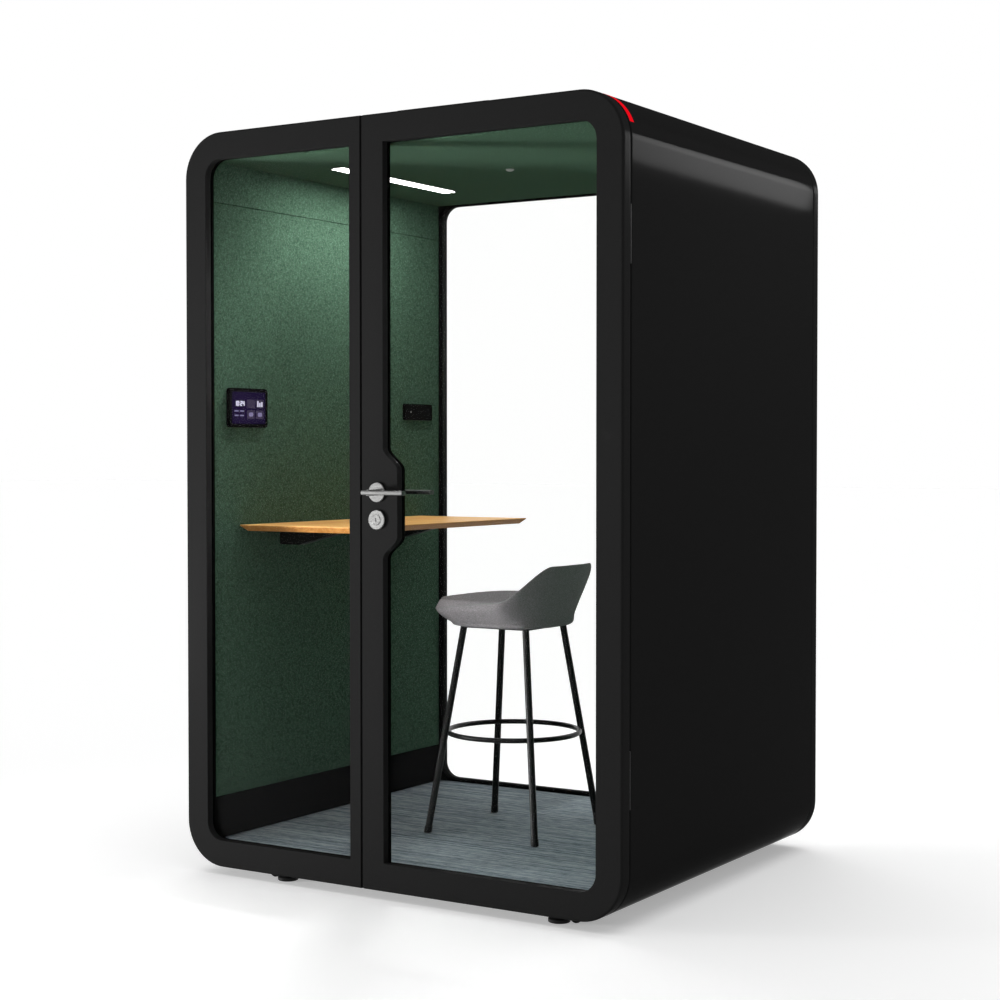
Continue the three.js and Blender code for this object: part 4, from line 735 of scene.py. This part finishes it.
def coat_material(name, low, high, rough_low, rough_high, specular, specks, depth):
    """Powder coat, plastic or rubber: fine specks in colour, gloss and height."""
    material, tree, surface = new_material(name, specular_ior_level=specular)
    value = fibre_value(tree, (specks, specks, specks))
    tint(tree, value, (low,) * 3, (high,) * 3, surface.inputs["Base Color"])
    spread(tree, value, rough_low, rough_high, surface.inputs["Roughness"])
    bump(tree, surface, value, 0.25, depth)
    return material


def dull_top(material, specular, start, end):
    """Fades a coat's gloss to none between two heights, for the faces on which dust settles."""
    tree = material.node_tree
    place = tree.nodes.new("ShaderNodeTexCoord")
    split = tree.nodes.new("ShaderNodeSeparateXYZ")
    fade = add_node(tree, "ShaderNodeMapRange")
    fade.inputs["From Min"].default_value = start
    fade.inputs["From Max"].default_value = end
    fade.inputs["To Min"].default_value = specular
    fade.inputs["To Max"].default_value = 0.0
    tree.links.new(place.outputs["Object"], split.inputs[0])
    tree.links.new(split.outputs["Z"], fade.inputs["Value"])
    tree.links.new(fade.outputs[0], tree.nodes["Principled BSDF"].inputs["Specular IOR Level"])


def cloth_material(name, first, second, low, high, specular, depth):
    """Woven or felted cloth with mottled threads."""
    material, tree, surface = new_material(name, roughness=0.95, specular_ior_level=specular)
    mask = weave_mask(tree, first, second)
    tint(tree, mask, low, high, surface.inputs["Base Color"], 0.15, 0.85)
    bump(tree, surface, mask, 0.5, depth)
    return material


def metal_material(name, low, high, rough_low, rough_high, stretch):
    """Brushed metal, with the brushing drawn out by the stretch."""
    material, tree, surface = new_material(name, metallic=1.0)
    value = fibre_value(tree, stretch)
    tint(tree, value, low, high, surface.inputs["Base Color"])
    spread(tree, value, rough_low, rough_high, surface.inputs["Roughness"])
    return material


def wood_material(name, low, high, stretch, fleck_stretch):
    """Lacquered wood: long grain drawn out along the board, with fine dark pores."""
    material, tree, surface = new_material(name, specular_ior_level=0.08)
    grain = fibre_value(tree, stretch)
    pores = fibre_value(tree, fleck_stretch)
    both = add_node(tree, "ShaderNodeMix", data_type="FLOAT")
    both.inputs["Factor"].default_value = 0.35
    tree.links.new(grain, both.inputs["A"])
    tree.links.new(pores, both.inputs["B"])
    tint(tree, both.outputs["Result"], low, high, surface.inputs["Base Color"], 0.35, 0.6)
    spread(tree, pores, 0.5, 0.38, surface.inputs["Roughness"])
    bump(tree, surface, pores, 0.08, 0.0004)
    return material


def paint_shade_below(material, height, tone):
    """Painted shade: deepens a material's colour by a tone under a height, so that the desk's bevelled edge,
    which faces down away from the ceiling light, looks shaded.
    """
    tree = material.node_tree
    target = tree.nodes["Principled BSDF"].inputs["Base Color"]
    colour = target.links[0].from_socket
    place = tree.nodes.new("ShaderNodeTexCoord")
    split = tree.nodes.new("ShaderNodeSeparateXYZ")
    under = add_node(tree, "ShaderNodeMath", operation="LESS_THAN")
    under.inputs[1].default_value = height
    shaded_colour = add_node(tree, "ShaderNodeMixRGB", blend_type="MULTIPLY")
    shaded_colour.inputs["Color2"].default_value = (*tone, 1)
    tree.links.new(place.outputs["Object"], split.inputs[0])
    tree.links.new(split.outputs["Z"], under.inputs[0])
    tree.links.new(under.outputs[0], shaded_colour.inputs["Fac"])
    tree.links.new(colour, shaded_colour.inputs["Color1"])
    tree.links.new(shaded_colour.outputs["Color"], target)


def glass_material():
    """Clear glass with a thin coating against reflections, which lets shadow rays through."""
    material, tree, surface = new_material("clear_glass", roughness=0.0, ior=1.2, transmission_weight=1.0,
                                           specular_tint=(0.0, 0.0, 0.0, 1))
    edge = fibre_value(tree, (2, 2, 2))
    tint(tree, edge, (0.994, 0.997, 0.994), (0.997, 0.999, 0.997), surface.inputs["Base Color"])
    through = add_node(tree, "ShaderNodeBsdfTransparent")
    path = tree.nodes.new("ShaderNodeLightPath")
    either = tree.nodes.new("ShaderNodeMixShader")
    output = tree.nodes["Material Output"]
    tree.links.new(path.outputs["Is Shadow Ray"], either.inputs["Fac"])
    tree.links.new(surface.outputs["BSDF"], either.inputs[1])
    tree.links.new(through.outputs["BSDF"], either.inputs[2])
    tree.links.new(either.outputs["Shader"], output.inputs["Surface"])
    return material


def glow_material(name, low, high, strength, stretch):
    """Lit dark plastic whose brightness varies a little over its surface."""
    material, tree, surface = new_material(name, emission_strength=strength, specular_ior_level=0.0,
                                           base_color=(0.004, 0.004, 0.004, 1))
    value = fibre_value(tree, stretch)
    tint(tree, value, low, high, surface.inputs["Emission Color"])
    spread(tree, value, 0.3, 0.4, surface.inputs["Roughness"])
    return material


COAT_GLOSS = 0.001
# Depth under the desk's top face at which the painted shade on its edge begins
SHADE_DEPTH = 0.0015
BLACK_COAT = coat_material("black_powder_coat", 0.0165, 0.0215, 0.13, 0.18, COAT_GLOSS, 900.0, 0.00003)
dull_top(BLACK_COAT, COAT_GLOSS, 2.165, 2.20)
# Glossier coat for the side panels. Its base is also darker than the frames' coat: this is painted shade for
# the side panels, which get less light than the front.
SHELL_COAT = coat_material("glossy_black_coat", 0.0132, 0.0172, 0.05, 0.07, COAT_GLOSS, 900.0, 0.000005)
dull_top(SHELL_COAT, COAT_GLOSS, 2.17, 2.22)
BLACK_STEEL = coat_material("black_satin_steel", 0.008, 0.012, 0.30, 0.40, 0.15, 700.0, 0.00004)
BLACK_TRIM = coat_material("black_trim_board", 0.005, 0.008, 0.6, 0.7, 0.0, 500.0, 0.00006)
RUBBER = coat_material("seal_rubber", 0.006, 0.010, 0.75, 0.85, 0.1, 600.0, 0.0001)
BLACK_PLASTIC = coat_material("black_plastic", 0.004, 0.006, 0.35, 0.45, 0.005, 1500.0, 0.00003)
GREY_PLASTIC = coat_material("grey_plastic", 0.30, 0.36, 0.45, 0.55, 0.3, 1200.0, 0.00003)
FELT = cloth_material("green_felt", (240, 240, 150), (240, 150, 240), (0.029, 0.058, 0.038),
                      (0.080, 0.147, 0.099), 0.0, 0.0011)
# The seat's grey leans slightly to magenta: a painted tint that offsets the green light the felt walls throw
# on the seat.
UPHOLSTERY = cloth_material("grey_upholstery", (520, 520, 160), (160, 520, 520), (0.175, 0.165, 0.171),
                            (0.334, 0.316, 0.327), 0.0, 0.0006)
PIPING = cloth_material("seat_piping", (900, 900, 900), (500, 500, 500), (0.19, 0.19, 0.19),
                        (0.27, 0.27, 0.27), 0.0, 0.0003)
CARPET = cloth_material("woven_carpet", (0.9, 80, 80), (30, 220, 220), (0.130, 0.168, 0.193),
                        (0.450, 0.510, 0.545), 0.0, 0.0015)
OAK = wood_material("oak_veneer", (0.75, 0.37, 0.108), (0.97, 0.55, 0.188), (40, 2.2, 40), (500, 12, 500))
# Painted shade on the desk's bevelled edge, from just under its top face down
paint_shade_below(OAK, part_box("desk_top")[1].z - SHADE_DEPTH, (0.55, 0.46, 0.38))
PLYWOOD = wood_material("floor_plywood", (0.30, 0.19, 0.09), (0.48, 0.33, 0.18), (3, 40, 40), (20, 500, 500))
SATIN_METAL = metal_material("satin_steel", (0.13, 0.13, 0.13), (0.21, 0.21, 0.205), 0.24, 0.33,
                             (40, 1500, 1500))
DARK_METAL = metal_material("dark_steel", (0.05, 0.05, 0.055), (0.08, 0.08, 0.085), 0.4, 0.5, (800, 800, 60))
GLASS = glass_material()
SCREEN_GLASS = glow_material("screen_glass", (0.006, 0.0025, 0.022), (0.011, 0.004, 0.032), 1.0, (9, 9, 9))
RED_LIGHT = glow_material("red_status_light", (0.80, 0.0, 0.006), (0.86, 0.003, 0.012), 1.0, (30, 30, 30))
WHITE_LIGHT = glow_material("white_ceiling_light", (1.0, 0.97, 0.93), (1.0, 0.99, 0.97), 4.0, (5, 5, 5))
CLOCK_GLOW = glow_material("clock_glow", (0.62, 0.60, 0.75), (0.75, 0.73, 0.88), 1.0, (200, 200, 200))
LINE_GLOW = glow_material("line_glow", (0.16, 0.14, 0.26), (0.24, 0.21, 0.36), 1.0, (200, 200, 200))
TILE_GLOW = glow_material("tile_glow", (0.030, 0.022, 0.050), (0.055, 0.042, 0.080), 1.0, (60, 60, 60))

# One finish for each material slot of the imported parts
FINISHES = {
    "black_coat": BLACK_COAT, "black_steel": BLACK_STEEL, "black_trim": BLACK_TRIM, "rubber": RUBBER,
    "black_plastic": BLACK_PLASTIC, "grey_plastic": GREY_PLASTIC, "felt": FELT, "carpet": CARPET,
    "upholstery": UPHOLSTERY, "oak": OAK, "plywood": PLYWOOD, "satin_metal": SATIN_METAL,
    "dark_metal": DARK_METAL, "glass": GLASS, "screen": SCREEN_GLASS, "red_light": RED_LIGHT,
    "white_light": WHITE_LIGHT,
}


def finish_nodes():
    """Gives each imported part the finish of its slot, by the name that its own material carries."""
    for part in NODES.values():
        for place in part.material_slots:
            slot = place.material.name.split(".")[0]
            place.material = FINISHES[slot]


finish_nodes()

# Smooth frames and shells
LEAF_BACK = FRONT + LEAF_DEPTH - LEAF_BACK_TRIM
door_rings = frame_rings(door_outer, door_inner, FRONT, LEAF_BACK, 1, GLASS_SETBACK,
                         LIP_DEPTH, POCKET_DEPTHS)
sidelight_rings = frame_rings(sidelight_outer, sidelight_inner, FRONT, LEAF_BACK, 1, GLASS_SETBACK,
                              TONGUE_DEPTH, POCKET_DEPTHS)
rear_rings = frame_rings(rear_outer, rear_inner, REAR_HIGH.y, REAR_LOW.y, -1, REAR_SETBACK)
ring_piece("door_frame_smooth", door_rings, "door", BLACK_COAT,
           (DOOR_EDGE + LIP_WIDTH, CASE_HIGH.x + POCKET_GAP))
ring_piece("sidelight_frame_smooth", sidelight_rings, "pod", BLACK_COAT,
           (SIDELIGHT_EDGE, SIDELIGHT_EDGE - STRIKE_POCKET))
ring_piece("rear_frame_smooth", rear_rings, "pod", BLACK_COAT)
shell_piece("right_shell", 1, SHELL_COAT)
shell_piece("left_shell", -1, SHELL_COAT)

# Carpet, stool and small marks
laid_carpet(CARPET)
seat_cover(UPHOLSTERY)
seat_piping(PIPING)
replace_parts(seat_plate(BLACK_STEEL), "stool_frame")
foot_ring(BLACK_STEEL)
for corner, toward_x, toward_y in LEG_CORNERS:
    stool_leg("stool_leg_" + corner, toward_x, toward_y, BLACK_STEEL)
screen_display(CLOCK_GLOW, LINE_GLOW, TILE_GLOW)
socket_dot(GREY_PLASTIC)

# Camera at the photo's view
camera_data = bpy.data.cameras.new("photo_camera")
camera_data.lens = 67.22
camera_data.sensor_width = 36.0
camera = bpy.data.objects.new("photo_camera", camera_data)
camera.location = (3.166087, -5.071909, 1.315738)
camera.rotation_euler = (math.radians(88.52), 0.0, math.radians(32.134))
bpy.context.scene.collection.objects.link(camera)
bpy.context.scene.camera = camera


# Studio
def aim_light(name, data, place, aim, roll_degrees=0.0):
    """Light object at a place, turned to face an aim and rolled about the way it faces."""
    light = bpy.data.objects.new(name, data)
    light.location = place
    direction = np.array(aim, float) - np.array(place, float)
    flat = math.hypot(direction[0], direction[1])
    facing = mathutils.Euler((math.atan2(flat, -direction[2]), 0.0, math.atan2(-direction[0], direction[1])))
    facing.rotate_axis("Z", math.radians(roll_degrees))
    light.rotation_euler = facing
    bpy.context.scene.collection.objects.link(light)


def area_light(name, place, aim, width, height, power, beam_degrees=180.0, roll_degrees=0.0):
    """Soft rectangular light, with its beam kept within an angle."""
    data = bpy.data.lights.new(name, "AREA")
    data.energy = power
    data.spread = math.radians(beam_degrees)
    data.shape = "RECTANGLE"
    data.size = width
    data.size_y = height
    aim_light(name, data, place, aim, roll_degrees)


def wide_sun(name, place, spread_degrees, strength):
    """Soft far light that shines from a direction towards the origin."""
    data = bpy.data.lights.new(name, "SUN")
    data.energy = strength
    data.angle = math.radians(spread_degrees)
    aim_light(name, data, place, (0, 0, 0))


def seen_rays(tree):
    """Mask that is 1 for what the eye sees, straight or in glass and metal, and 0 for light that falls on
    things, also through a pane."""
    path = tree.nodes.new("ShaderNodeLightPath")
    mask = path.outputs["Is Camera Ray"]
    for label in ("Is Glossy Ray", "Is Transmission Ray"):
        either = add_node(tree, "ShaderNodeMath", operation="MAXIMUM")
        tree.links.new(mask, either.inputs[0])
        tree.links.new(path.outputs[label], either.inputs[1])
        mask = either.outputs[0]
    unscattered = add_node(tree, "ShaderNodeMath", operation="SUBTRACT", use_clamp=True)
    tree.links.new(mask, unscattered.inputs[0])
    tree.links.new(path.outputs["Diffuse Depth"], unscattered.inputs[1])
    return unscattered.outputs[0]


def white_world():
    """White to the eye and in reflections, and a softer white for the light that falls on things."""
    world = bpy.data.worlds.new("studio")
    bpy.context.scene.world = world
    world.use_nodes = True
    tree = world.node_tree
    sky = tree.nodes["Background"]
    sky.inputs["Color"].default_value = (1, 1, 1, 1)
    level = add_node(tree, "ShaderNodeMapRange")
    level.inputs["To Min"].default_value = WORLD_LEVEL
    level.inputs["To Max"].default_value = 1.0
    tree.links.new(seen_rays(tree), level.inputs["Value"])
    tree.links.new(level.outputs[0], sky.inputs["Strength"])


def studio_floor():
    """Pale floor that is white to the eye where nothing shades it."""
    half = 60.0
    mesh = bpy.data.meshes.new("studio_floor")
    corners = [(-half, -half, 0), (half, -half, 0), (half, half, 0), (-half, half, 0)]
    mesh.from_pydata(corners, [], [(0, 1, 2, 3)])
    material, tree, surface = new_material("studio_paper", roughness=0.9, specular_ior_level=0.0)
    seen = seen_rays(tree)
    surface.inputs["Base Color"].default_value = (FLOOR_WHITE, FLOOR_WHITE, FLOOR_WHITE, 1)
    surface.inputs["Emission Color"].default_value = (1, 1, 1, 1)
    level = add_node(tree, "ShaderNodeMath", operation="MULTIPLY")
    level.inputs[1].default_value = FLOOR_GLOW
    tree.links.new(seen, level.inputs[0])
    tree.links.new(level.outputs[0], surface.inputs["Emission Strength"])
    mesh.materials.append(material)
    floor = bpy.data.objects.new("studio_floor", mesh)
    bpy.context.scene.collection.objects.link(floor)


WORLD_LEVEL = 0.2
FLOOR_GLOW = 0.35
FLOOR_WHITE = 0.86
LAMP_LOW, LAMP_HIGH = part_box("light_housing")
LAMP_X = (LAMP_LOW.x + LAMP_HIGH.x) / 2
LAMP_Y = (LAMP_LOW.y + LAMP_HIGH.y) / 2
LAMP_Z = LAMP_LOW.z - 0.003
SPILL_DROP = 0.008
white_world()
studio_floor()
area_light("cabin_light", (LAMP_X, LAMP_Y, LAMP_Z), (LAMP_X, LAMP_Y, 0.0),
           LAMP_HIGH.x - LAMP_LOW.x - 0.006, LAMP_HIGH.y - LAMP_LOW.y - 0.006, 7.0)
area_light("spill_light", (LAMP_X, LAMP_Y, LAMP_Z - SPILL_DROP), (LAMP_X + 0.3, FRONT - 1.8, 0.0),
           0.3, 0.012, 2.8, 64.0)
area_light("front_light", (-3.8, -3.2, 0.45), (-0.4, -0.67, 1.3), 1.0, 0.7, 52.0, 76.0)
area_light("edge_light", (3.2, 5.1, 3.32), (SIDE, 0.0, 2.16), 1.3, 0.8, 2.3, 20.0, -17.0)
wide_sun("top_sun", (0.0, 0.4, 4.0), 70.0, 1.35)
wide_sun("left_sun", (-3.0, 3.4, 3.6), 40.0, 0.45)
wide_sun("right_sun", (2.4, 4.0, 3.6), 40.0, 0.2)

bpy.context.scene.view_settings.view_transform = "Standard"
